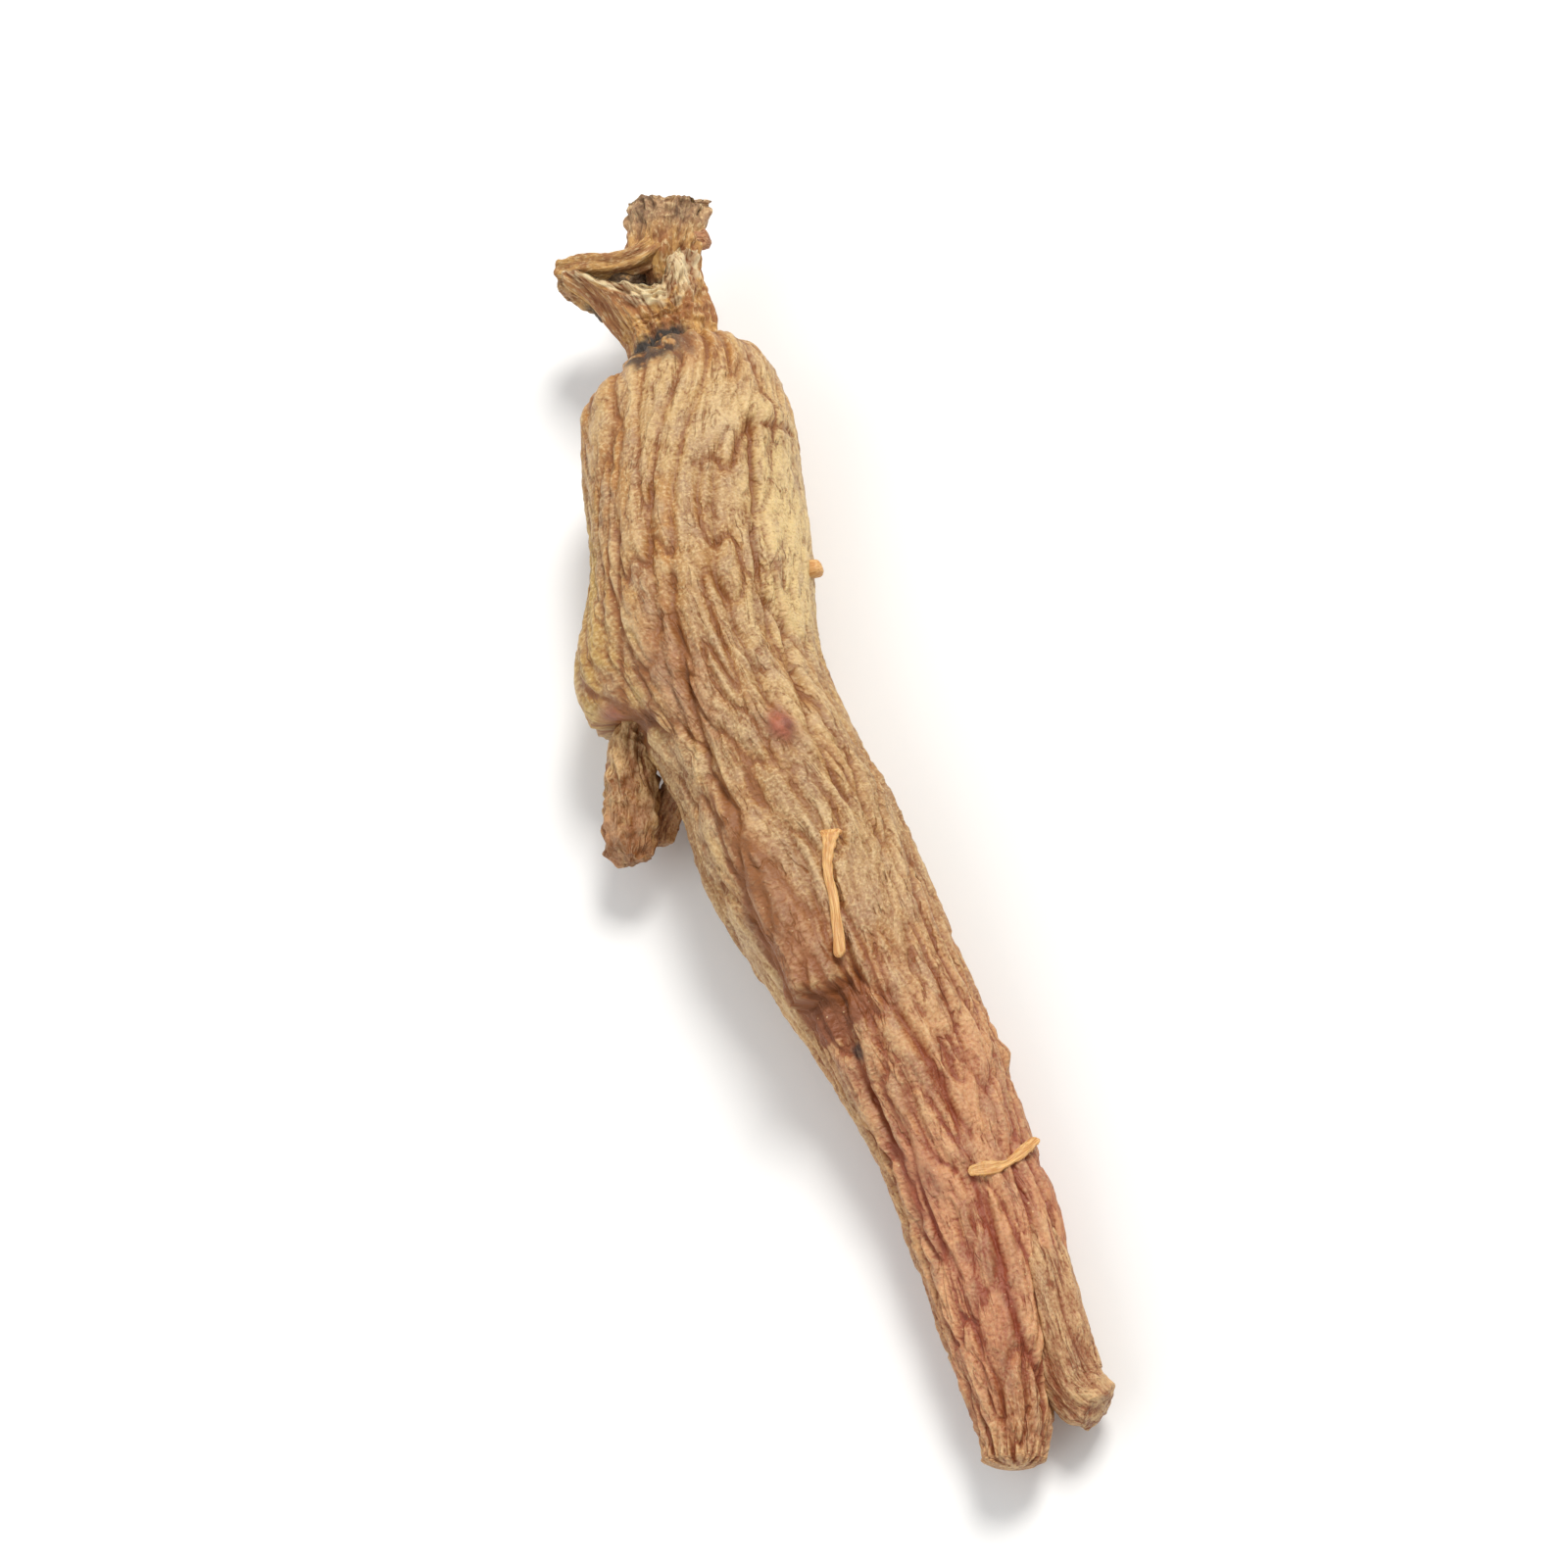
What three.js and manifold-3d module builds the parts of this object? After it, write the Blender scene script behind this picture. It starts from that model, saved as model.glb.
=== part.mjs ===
// A dried ginseng root lying on its belly: a stout wrinkled body, a tail that ends in two toes, side rootlets
// broken off short, and the rhizome with its torn cup and the stump of a stem. It grew in one piece, so it is
// one solid. Millimetres. +Y points to the rhizome, +Z is up, and the origin is on the flat of the belly.

import * as THREE from 'three';
import { mergeVertices } from 'three/addons/utils/BufferGeometryUtils.js';
import Module from 'manifold-3d';

// Body sections from the neck to the left toe: middle x, middle y, height of the underside, half width and
// half thickness.
const BELLY_SINK = 0.4;
const BODY = [
  [1.9, 34.3, 4.6, 3.0, 2.1],
  [1.6, 32.0, 2.7, 5.3, 3.3],
  [2.0, 28.5, 0.7, 7.9, 6.8],
  [1.2, 23.6, -0.2, 8.8, 8.0],
  [0.2, 17.5, -BELLY_SINK, 8.7, 8.2],
  [-0.7, 12.0, -BELLY_SINK, 8.6, 8.2],
  [-1.3, 6.5, -BELLY_SINK, 8.3, 8.1],
  [-1.1, 1.5, -BELLY_SINK, 7.6, 7.9],
  [0.0, -4.5, -BELLY_SINK, 7.3, 7.5],
  [0.7, -11.3, -BELLY_SINK, 7.8, 7.1],
  [1.9, -18.7, -0.3, 7.2, 6.5],
  [3.4, -26.5, -0.2, 6.3, 5.7],
  [4.2, -32.4, -0.2, 5.8, 5.1],
  [4.7, -38.5, -0.1, 5.4, 4.6],
  [4.9, -43.9, 0.2, 5.2, 4.1],
  [4.2, -48.8, 0.5, 4.5, 3.6],
  [3.3, -52.5, 0.8, 3.3, 3.1],
  [2.8, -55.3, 1.0, 2.7, 2.7],
  [2.2, -57.4, 1.2, 2.3, 2.3],
];

// Everything that grows out of the body: middle x, y, z, half width and half thickness of each section.
const RIGHT_TOE = [
  [7.2, -42.0, 4.4, 1.9, 2.6],
  [7.6, -46.0, 4.2, 2.1, 3.0],
  [7.6, -50.0, 4.0, 2.1, 2.8],
  [7.4, -52.4, 3.8, 2.1, 2.5],
  [7.4, -54.0, 3.6, 2.1, 2.2],
  [7.8, -55.1, 3.5, 2.0, 2.1],
  [8.4, -56.0, 3.5, 1.8, 1.9],
];
const CUP = [
  [2.6, 32.2, 8.0, 3.7, 3.6],
  [2.6, 35.2, 8.2, 3.7, 3.5],
  [2.3, 37.0, 8.6, 4.1, 3.5],
  [2.0, 38.6, 8.9, 4.6, 3.5],
  [1.7, 39.8, 9.1, 5.1, 3.4],
];
const STEM_STUMP = [
  [2.4, 36.5, 7.6, 2.4, 2.0],
  [3.2, 39.5, 7.6, 2.4, 1.8],
  [4.1, 42.3, 8.9, 2.9, 2.3],
  [5.0, 44.8, 9.3, 3.1, 2.4],
  [5.6, 46.5, 9.4, 3.1, 2.3],
];
const STRAP = [
  [-4.2, 44.4, 9.2, 1.1, 1.2],
  [-2.2, 43.3, 9.9, 1.2, 1.4],
  [0.3, 42.0, 10.5, 1.1, 1.3],
  [2.3, 41.7, 10.7, 1.1, 1.3],
  [3.9, 42.8, 10.1, 1.5, 1.3],
  [4.8, 44.9, 9.0, 1.7, 1.3],
];
const PRONG = [
  [1.0, 39.8, 8.2, 3.0, 2.4],
  [-1.8, 42.6, 8.3, 2.4, 2.0],
  [-3.8, 44.3, 8.5, 1.6, 1.6],
];
const KNOB = [
  [6.2, 43.0, 9.4, 0.9, 0.9],
  [7.5, 42.4, 9.4, 0.8, 0.8],
];
const SIDE_STUB = [
  [-6.4, 2.6, 7.3, 1.5, 1.8],
  [-8.8, 2.0, 6.9, 1.5, 1.8],
  [-10.0, -0.3, 6.4, 1.8, 1.9],
  [-10.6, -2.3, 5.8, 2.0, 1.9],
  [-11.3, -4.3, 5.2, 2.1, 1.9],
  [-12.1, -6.1, 4.6, 1.7, 1.6],
];
const SMALL_STUB = [
  [-6.5, -1.5, 4.6, 1.3, 1.3],
  [-8.6, -3.6, 3.8, 1.1, 1.1],
  [-9.7, -5.2, 3.3, 0.9, 0.9],
];
const PRESSED_ROOTLET = [
  [-2.4, -7.5, 12.4, 1.0, 1.0],
  [-1.9, -12.0, 12.1, 1.7, 1.6],
  [-1.5, -15.7, 11.8, 2.1, 1.8],
  [-1.3, -19.0, 11.4, 2.4, 1.9],
  [-1.2, -22.0, 10.9, 2.4, 1.8],
  [-1.2, -23.5, 10.4, 2.0, 1.5],
];
const PALE_FIBRE = [
  [3.5, -14.4, 12.5, 0.7, 0.7],
  [3.2, -16.5, 13.0, 0.45, 0.5],
  [2.5, -19.5, 12.7, 0.45, 0.5],
  [1.7, -22.8, 12.2, 0.5, 0.5],
];
const TORN_FIBRE = [
  [5.8, -39.5, 8.6, 0.5, 0.5],
  [7.9, -39.8, 7.9, 0.5, 0.5],
  [9.3, -38.9, 6.8, 0.5, 0.5],
  [10.0, -38.6, 6.1, 0.4, 0.4],
];
const NUB = [
  [6.4, 10.0, 8.0, 0.9, 0.9],
  [8.1, 9.7, 8.1, 0.7, 0.7],
];

// Long furrows: how many run round the body, how deep and wide they are, and how far they wander in radians.
const FURROWS = 16;
const COLUMNS_PER_FURROW = 4;
const FURROW_DEPTH = 0.8;
const FURROW_HALF_WIDTH = 1.3;
const NARROWEST_FURROW = 0.28;
const MEANDER = 0.1;
const MEANDER_LENGTH = 46;
const WANDER = 0.05;
const WANDER_LENGTH = 21;
const FADE_LENGTH = 34;
const FAINTEST_FURROW = 0.3;
const VALLEY_SHARPNESS = 1.5;

// Deep creases on top, each as depth, half width and the points of its course: y, and degrees round from +X.
const CREASES = [
  [0.9, 1.1, [[22, 44], [12, 46], [6.7, 49], [2.8, 38], [-1.5, 43], [-6, 54]]],
  [0.9, 1.0, [[17, 67], [7, 72], [3.7, 70], [0, 67], [-3.4, 70]]],
  [0.8, 1.0, [[16, 100], [6.6, 108], [0.5, 119], [-3.4, 128]]],
  [1.1, 1.2, [[9, 95], [3, 101], [-1.3, 114], [-5.8, 122], [-9.7, 112], [-15, 127], [-21, 135]]],
  [1.0, 1.2, [[15, 124], [8.9, 133], [5.7, 140], [2.9, 149], [1, 156]]],
  [0.6, 1.0, [[-7, 66], [-11, 56], [-15, 49]]],
  [0.9, 1.0, [[-22, 100], [-27.6, 86], [-34, 81], [-37.2, 72]]],
  [1.1, 1.2, [[-23.8, 104], [-25.5, 122], [-30, 131], [-34, 132], [-41, 136]]],
  [1.1, 1.0, [[-39.5, 83], [-47.4, 80], [-50.2, 69], [-52, 51], [-53.6, 32]]],
  [0.9, 1.0, [[-43.5, 124], [-49.2, 112], [-52, 103], [-56.4, 97]]],
];

// Bumps and hollows: height, y, degrees round from +X, reach along and reach round, both in mm.
const BUMPS = [
  [0.7, -5.4, 71, 1.5, 1.4],
  [0.5, -31.8, 0, 1.3, 1.3],
  [0.5, 23, 30, 3.5, 3.5],
  [0.6, 27, 140, 3, 4],
  [0.8, -17, 318, 2, 2],
  [0.7, 9, 322, 1.8, 2.2],
  [0.8, -12, 215, 2.2, 2],
  [-0.7, 3, 166, 1.6, 2.5],
];

// The swollen lobe on the left: height, where it starts and stops along the body, its reach round it in
// degrees, and the share of that reach that keeps its full height. Its edge slants: above the side at 180
// degrees it ends nearer the tail, by up to so many mm within so many degrees.
const LOBE_HEIGHT = 3.0;
const LOBE_START = 15;
const LOBE_FULL = 4.6;
const LOBE_STEP = 4.1;
const LOBE_STEP_END = 2.9;
const LOBE_SLANT = 2.0;
const LOBE_SLANT_REACH = 35;
const LOBE_MIDDLE = 192;
const LOBE_REACH = 58;
const LOBE_CREST = 0.2;

// How much flatter the relief is under the belly, and within how many degrees of straight down.
const BELLY_RELIEF = 0.4;
const BELLY_REACH = 32;

// The cup's rim is slanted: it reaches far out on the left and dips in front. Each is a bell round the cup
// with its height in mm, and its middle and spread in degrees. The cup's angle starts on its left.
const RIM_LEFT_REACH = 4.3;
const RIM_LEFT_MIDDLE = 10;
const RIM_LEFT_SPREAD = 52;
const RIM_FRONT_DIP = 2.1;
const RIM_FRONT_MIDDLE = 97;
const RIM_FRONT_SPREAD = 28;
const SLANT_START = 0.1;

// The broken ends: how high a torn rim stands, how deep the cup and the rootlet's pit go.
const CUP_LIP = 0.5;
const CUP_DEPTH = 2.4;
const PIT_LIP = 0.3;
const PIT_DEPTH = 0.7;
const CAP_ROWS = 4;

const SKIN_COLOUR = '#b08b5a';
const FULL_TURN = Math.PI * 2;
const DEGREE = Math.PI / 180;

// A fixed scatter: the same number between 0 and 1 for the same seed.
function scatter(seed) {
  const wave = Math.sin(seed * 12.9898) * 43758.5453;
  return wave - Math.floor(wave);
}

// The shortest way from one angle to another, between minus and plus half a turn.
function turnBetween(from, to) {
  const turn = (to - from) / FULL_TURN;
  return (turn - Math.round(turn)) * FULL_TURN;
}

// How far the furrows have turned round the body at a place: they wander together, as skin does when it
// shrinks.
function furrowTurn(angle, y) {
  const meander = MEANDER * Math.sin(FULL_TURN * y / MEANDER_LENGTH);
  return meander + WANDER * Math.sin(FULL_TURN * y / WANDER_LENGTH + 2 * angle);
}

// Depth of the long furrows: V-shaped valleys, unevenly spaced, that fade in and out and narrow at the tail.
// The angle is the one before the furrows' turn.
function furrowDepth(angle, y, radius) {
  const halfWidth = Math.min(FURROW_HALF_WIDTH, NARROWEST_FURROW * radius);
  let depth = 0;
  for (let k = 0; k < FURROWS; k += 1) {
    const shift = Math.floor(3 * scatter(k + 31)) / COLUMNS_PER_FURROW;
    const across = Math.abs(turnBetween(FULL_TURN * (k + shift) / FURROWS, angle)) * radius / halfWidth;
    const fade = 0.5 + 0.5 * Math.sin(FULL_TURN * (y / FADE_LENGTH + scatter(k + 61)));
    const strength = THREE.MathUtils.lerp(FAINTEST_FURROW, 1, fade);
    depth = Math.max(depth, strength * Math.max(0, 1 - across) ** VALLEY_SHARPNESS);
  }
  return depth * FURROW_DEPTH;
}

// Distance on the skin from a place to a crease's course, in mm.
function distanceToCourse(course, angle, y, radius) {
  let nearest = Infinity;
  for (let k = 1; k < course.length; k += 1) {
    const [startY, startTurn] = course[k - 1];
    const [endY, endTurn] = course[k];
    const along = endY - startY;
    const round = (endTurn - startTurn) * DEGREE * radius;
    const offAlong = y - startY;
    const offRound = turnBetween(startTurn * DEGREE, angle) * radius;
    const share = (offAlong * along + offRound * round) / (along * along + round * round);
    const held = THREE.MathUtils.clamp(share, 0, 1);
    nearest = Math.min(nearest, Math.hypot(offAlong - held * along, offRound - held * round));
  }
  return nearest;
}

function creaseDepth(angle, y, radius) {
  let depth = 0;
  for (const [deepest, halfWidth, course] of CREASES) {
    const across = distanceToCourse(course, angle, y, radius) / halfWidth;
    depth = Math.max(depth, deepest * Math.max(0, 1 - across) ** VALLEY_SHARPNESS);
  }
  return depth;
}

function bumpHeight(angle, y, radius) {
  let height = 0;
  for (const [top, middleY, middleTurn, reachAlong, reachRound] of BUMPS) {
    const round = turnBetween(middleTurn * DEGREE, angle) * radius;
    const away = Math.hypot((y - middleY) / reachAlong, round / reachRound);
    height += top * (1 - THREE.MathUtils.smoothstep(away, 0, 1));
  }
  return height;
}

// The lobe swells gently towards the tail and then ends in a step.
function lobeHeight(angle, y) {
  const away = Math.abs(turnBetween(LOBE_MIDDLE * DEGREE, angle)) / (LOBE_REACH * DEGREE);
  const swell = 1 - THREE.MathUtils.smoothstep(y, LOBE_FULL, LOBE_START);
  const above = turnBetween(angle, Math.PI) / (LOBE_SLANT_REACH * DEGREE);
  const later = LOBE_SLANT * THREE.MathUtils.clamp(above, 0, 1);
  const step = THREE.MathUtils.smoothstep(y + later, LOBE_STEP_END, LOBE_STEP);
  return LOBE_HEIGHT * (1 - THREE.MathUtils.smoothstep(away, LOBE_CREST, 1)) * swell * step;
}

function bodyRelief(angle, y, radius, angleBeforeTurn) {
  const fromDown = Math.abs(turnBetween(-Math.PI / 2, angle)) / (BELLY_REACH * DEGREE);
  const share = BELLY_RELIEF + (1 - BELLY_RELIEF) * THREE.MathUtils.smoothstep(fromDown, 0.5, 1);
  const depth = Math.max(furrowDepth(angleBeforeTurn, y, radius), creaseDepth(angle, y, radius));
  return share * (bumpHeight(angle, y, radius) - depth) + lobeHeight(angle, y);
}

// Coarse fibres of the rhizome and of the broken rootlets: a few ridges that run along the piece.
function fibreRelief(count, height) {
  return (angle, y, radius) => height * Math.sin(count * angle + 0.9 * Math.sin(y / radius));
}

// A bell round the cup: 1 at its middle, and less the further round.
function bell(angle, middle, spread) {
  return Math.exp(-((turnBetween(middle * DEGREE, angle) / (spread * DEGREE)) ** 2));
}

function cupSlant(angle) {
  const left = RIM_LEFT_REACH * bell(angle, RIM_LEFT_MIDDLE, RIM_LEFT_SPREAD);
  return left - RIM_FRONT_DIP * bell(angle, RIM_FRONT_MIDDLE, RIM_FRONT_SPREAD);
}

// How an end closes: a dome that stands out by its length, or a pit behind a torn rim.
const dome = (length) => (quarter) => length * Math.sin(quarter);
const pit = (lip, depth) => (quarter) => lip * Math.sin(2 * quarter) - depth * (1 - Math.cos(quarter));

// A closed skin swept along the sections. Each ring of a sphere becomes one section, and its rings near the
// poles close the two ends. The relief lifts the skin along the section's own outward direction, the turn
// leads the columns along the furrows, and the slant draws the far end out along the path.
function sweptSkin({ sections, around, rows, start, end, relief, turn = () => 0, slant = () => 0 }) {
  const spine = curveThrough(sections.map(([x, y, z]) => [x, y, z]));
  const halves = sections.map(([, , , halfWidth, halfThickness]) => [halfWidth, halfThickness, 0]);
  const girth = curveThrough(halves);
  const skin = new THREE.SphereGeometry(1, around, rows);
  const place = skin.attributes.position;
  for (let i = 0; i < place.count; i += 1) {
    const ring = Math.floor(i / (around + 1));
    const column = i % (around + 1) % around;
    const angleBeforeTurn = Math.PI - FULL_TURN * column / around;
    const share = THREE.MathUtils.clamp((ring - CAP_ROWS) / (rows - 2 * CAP_ROWS), 0, 1);
    const middle = spine.getPoint(share);
    const angle = angleBeforeTurn + turn(angleBeforeTurn, middle.y);
    const onward = spine.getTangent(share);
    const side = new THREE.Vector3(0, 0, 1).cross(onward).normalize();
    const upward = new THREE.Vector3().crossVectors(onward, side);
    const half = girth.getPoint(share);
    const radius = (half.x + half.y) / 2;
    const lean = new THREE.Vector2(Math.cos(angle) / half.x, Math.sin(angle) / half.y).normalize();
    const lift = relief(angle, middle.y, radius, angleBeforeTurn);
    const startQuarter = Math.max(0, 1 - ring / CAP_ROWS) * Math.PI / 2;
    const endQuarter = Math.max(0, 1 - (rows - ring) / CAP_ROWS) * Math.PI / 2;
    const shrink = ring % rows === 0 ? 0 : Math.cos(startQuarter) * Math.cos(endQuarter);
    middle.addScaledVector(side, shrink * (half.x * Math.cos(angle) + lift * lean.x));
    middle.addScaledVector(upward, shrink * (half.y * Math.sin(angle) + lift * lean.y));
    const slanted = slant(angle) * THREE.MathUtils.smoothstep(share, SLANT_START, 1) * Math.cos(endQuarter);
    middle.addScaledVector(onward, end(endQuarter) - start(startQuarter) + slanted * Math.sign(shrink));
    place.setXYZ(i, middle.x, middle.y, middle.z);
  }
  return skin;
}

function curveThrough(points) {
  const places = points.map((point) => new THREE.Vector3(...point));
  return new THREE.CatmullRomCurve3(places, false, 'catmullrom', 0.5);
}

const wasm = await Module();
wasm.setup();

// A geometry as a closed solid whose corners are shared.
function solidOf(geometry) {
  geometry.deleteAttribute('normal');
  geometry.deleteAttribute('uv');
  const welded = mergeVertices(geometry);
  return new wasm.Manifold(new wasm.Mesh({
    numProp: 3,
    vertProperties: welded.attributes.position.array,
    triVerts: new Uint32Array(welded.index.array),
  }));
}

function geometryOf(solid) {
  const { vertProperties, triVerts } = solid.getMesh();
  const geometry = new THREE.BufferGeometry();
  geometry.setAttribute('position', new THREE.BufferAttribute(vertProperties, 3));
  geometry.setIndex(new THREE.BufferAttribute(triVerts, 1));
  geometry.computeVertexNormals();
  return geometry;
}

function bodySkin() {
  const sections = BODY.map(([x, y, underside, halfWidth, halfThickness]) => (
    [x, y, underside + halfThickness, halfWidth, halfThickness]
  ));
  return sweptSkin({
    sections,
    around: FURROWS * COLUMNS_PER_FURROW,
    rows: 57,
    start: dome(0.5),
    end: dome(0.6),
    relief: bodyRelief,
    turn: furrowTurn,
  });
}

function toeSkin() {
  const relief = fibreRelief(5, 0.15);
  return sweptSkin({ sections: RIGHT_TOE, around: 18, rows: 20, start: dome(1), end: dome(0.4), relief });
}

function cupSkin() {
  return sweptSkin({
    sections: CUP,
    around: 32,
    rows: 20,
    start: dome(1),
    end: pit(CUP_LIP, CUP_DEPTH),
    relief: fibreRelief(9, 0.25),
    slant: cupSlant,
  });
}

function rhizomeSkins() {
  const relief = fibreRelief(5, 0.2);
  const smooth = () => 0;
  const blunt = dome(0.5);
  return [
    cupSkin(),
    sweptSkin({ sections: STEM_STUMP, around: 16, rows: 18, start: blunt, end: blunt, relief }),
    sweptSkin({ sections: STRAP, around: 12, rows: 18, start: blunt, end: blunt, relief }),
    sweptSkin({ sections: PRONG, around: 14, rows: 14, start: blunt, end: dome(0.6), relief }),
    sweptSkin({ sections: KNOB, around: 8, rows: 11, start: dome(0.3), end: dome(0.6), relief: smooth }),
  ];
}

function rootletSkins() {
  const relief = fibreRelief(4, 0.15);
  const smooth = () => 0;
  const blunt = dome(0.5);
  const root = dome(0.3);
  const tip = dome(0.4);
  return [
    sweptSkin({ sections: SIDE_STUB, around: 16, rows: 18, start: blunt, end: dome(0.7), relief }),
    sweptSkin({ sections: SMALL_STUB, around: 10, rows: 12, start: blunt, end: tip, relief: smooth }),
    sweptSkin({
      sections: PRESSED_ROOTLET,
      around: 18,
      rows: 18,
      start: blunt,
      end: pit(PIT_LIP, PIT_DEPTH),
      relief,
    }),
    sweptSkin({ sections: PALE_FIBRE, around: 6, rows: 13, start: root, end: tip, relief: smooth }),
    sweptSkin({ sections: TORN_FIBRE, around: 6, rows: 13, start: root, end: tip, relief: smooth }),
    sweptSkin({ sections: NUB, around: 8, rows: 12, start: root, end: tip, relief: smooth }),
  ];
}

// Everything below the resting plane, which the belly's flat is cut by.
function groundSolid() {
  const size = 200;
  return solidOf(new THREE.BoxGeometry(size, size, size).translate(0, 0, -size / 2));
}

function ginsengRoot() {
  const skins = [toeSkin(), ...rhizomeSkins(), ...rootletSkins()];
  const grown = skins.reduce((root, skin) => root.add(solidOf(skin)), solidOf(bodySkin()));
  const skin = new THREE.MeshStandardMaterial({ color: SKIN_COLOUR, roughness: 0.7, metalness: 0 });
  const root = new THREE.Mesh(geometryOf(grown.subtract(groundSolid())), skin);
  root.name = 'ginseng_root';
  return root;
}

const part = new THREE.Group();
part.add(ginsengRoot());

export default part;
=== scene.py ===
# %% [markdown]
# # A dried ginseng root
# The root was steamed and then dried, so its skin shrank onto a horny core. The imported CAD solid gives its
# form with coarse furrows. Here the same form is worked out again on a much finer grid, with the small
# wrinkles, the torn edges and the colours that the coarse solid leaves out.

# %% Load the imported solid, which fixes the size and the place of everything
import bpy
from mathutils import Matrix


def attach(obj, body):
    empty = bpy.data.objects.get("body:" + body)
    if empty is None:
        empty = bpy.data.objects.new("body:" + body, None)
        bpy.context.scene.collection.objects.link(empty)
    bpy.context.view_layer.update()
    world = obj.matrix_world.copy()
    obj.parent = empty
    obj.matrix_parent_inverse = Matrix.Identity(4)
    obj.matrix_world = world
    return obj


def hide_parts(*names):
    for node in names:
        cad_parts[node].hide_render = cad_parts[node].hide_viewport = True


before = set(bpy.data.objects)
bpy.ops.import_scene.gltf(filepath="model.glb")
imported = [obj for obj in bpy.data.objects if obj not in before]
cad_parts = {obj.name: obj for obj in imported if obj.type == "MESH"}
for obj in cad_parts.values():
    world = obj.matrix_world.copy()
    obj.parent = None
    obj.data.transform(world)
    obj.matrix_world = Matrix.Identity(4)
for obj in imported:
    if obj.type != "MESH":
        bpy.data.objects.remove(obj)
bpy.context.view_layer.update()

from types import SimpleNamespace

import bpy
import numpy as np
from mathutils import Matrix, Vector

MM = 0.001
TURN = 2 * np.pi
DEGREE = np.pi / 180

# %% [markdown]
# ## Where the camera stands
# The picture was taken from above and from the tail end. The camera keeps that place and that upright, and
# only turns to put the root in the middle, so the root shows the same sides at the same slant.

# %% The camera, and a check on how far away the root is
ELEVATION = 62 * DEGREE
LEAN = 22.4 * DEGREE
AIMED_AT = Vector((0.0535, -0.010, 0.0))
STAND_OFF = 0.200
ROOT_MIDDLE = Vector((0.0006, -0.0052, 0.005))
LENS, SENSOR = 60, 36
NEAREST_SEEN, FURTHEST_SEEN = 0.01, 10

flat_forward = Vector((np.sin(LEAN), np.cos(LEAN), 0))
picture_forward = flat_forward * np.cos(ELEVATION) - Vector((0, 0, np.sin(ELEVATION)))
picture_up = flat_forward * np.sin(ELEVATION) + Vector((0, 0, np.cos(ELEVATION)))
eye = AIMED_AT - picture_forward * STAND_OFF
backward = (eye - ROOT_MIDDLE).normalized()
rightward = picture_up.cross(backward).normalized()
upward = backward.cross(rightward)

camera = bpy.data.objects.new("camera", bpy.data.cameras.new("camera"))
camera.data.lens = LENS
camera.data.sensor_width = SENSOR
camera.data.clip_start = NEAREST_SEEN
camera.data.clip_end = FURTHEST_SEEN
camera.matrix_world = Matrix((rightward, upward, backward)).transposed().to_4x4()
camera.location = eye
bpy.context.scene.collection.objects.link(camera)
bpy.context.scene.camera = camera
print("the camera is", round((eye - ROOT_MIDDLE).length, 3), "metres from the root")

# %% [markdown]
# ## A pale floor and soft light
# A wide pale sheet, a bright sky and a big soft lamp give the nearly shadowless light of a tabletop
# picture. The main lamp is smaller and stands at the upper right, so furrows that run lengthwise catch a
# little shade on one side.

# %% Floor, lamps and sky
def plain_material(name, colour, roughness):
    """One flat colour and one roughness, for what isn't part of the root."""
    made = bpy.data.materials.new(name)
    made.use_nodes = True
    shader = made.node_tree.nodes["Principled BSDF"]
    shader.inputs["Base Color"].default_value = (*colour, 1)
    shader.inputs["Roughness"].default_value = roughness
    return made


def lamp(name, place, size, power, colour):
    """A square area lamp at a place, turned to the root, with its side in metres and its power in watts."""
    light = bpy.data.lights.new(name, "AREA")
    light.size = size
    light.energy = power
    light.color = colour
    lamp_object = bpy.data.objects.new(name, light)
    lamp_object.location = place
    lamp_object.rotation_euler = (ROOT_MIDDLE - Vector(place)).to_track_quat("-Z", "Y").to_euler()
    bpy.context.scene.collection.objects.link(lamp_object)
    print(f"{name}: {size} metres wide, {power} watts")


FLOOR_HALF = 2.0
FLOOR_CORNERS = [(-1, -1), (1, -1), (1, 1), (-1, 1)]
PAPER_WHITE = (0.88, 0.88, 0.87)
floor_mesh = bpy.data.meshes.new("floor")
floor_mesh.from_pydata([(FLOOR_HALF * x, FLOOR_HALF * y, 0) for x, y in FLOOR_CORNERS], [], [(0, 1, 2, 3)])
floor_mesh.materials.append(plain_material("white_sheet", PAPER_WHITE, roughness=0.9))
floor = bpy.data.objects.new("floor", floor_mesh)
bpy.context.scene.collection.objects.link(floor)

lamp("main_lamp", place=(0.28, 0.25, 0.55), size=0.22, power=3.4, colour=(1.0, 0.98, 0.95))
lamp("soft_lamp", place=(-0.45, -0.10, 0.50), size=0.60, power=1.4, colour=(0.97, 0.98, 1.0))

SKY_STRENGTH = 0.55
world = bpy.data.worlds.new("pale_room")
world.use_nodes = True
world.node_tree.nodes["Background"].inputs["Color"].default_value = (1, 1, 1, 1)
world.node_tree.nodes["Background"].inputs["Strength"].default_value = SKY_STRENGTH
bpy.context.scene.world = world
bpy.context.scene.view_settings.view_transform = "Standard"

# %% [markdown]
# ## Helpers: curves and soft steps
# Every surface below is a ring of skin carried along a path. The path and the ring's size come from a few
# sections, joined by a smooth curve that goes through each of them, as in the solid.

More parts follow.
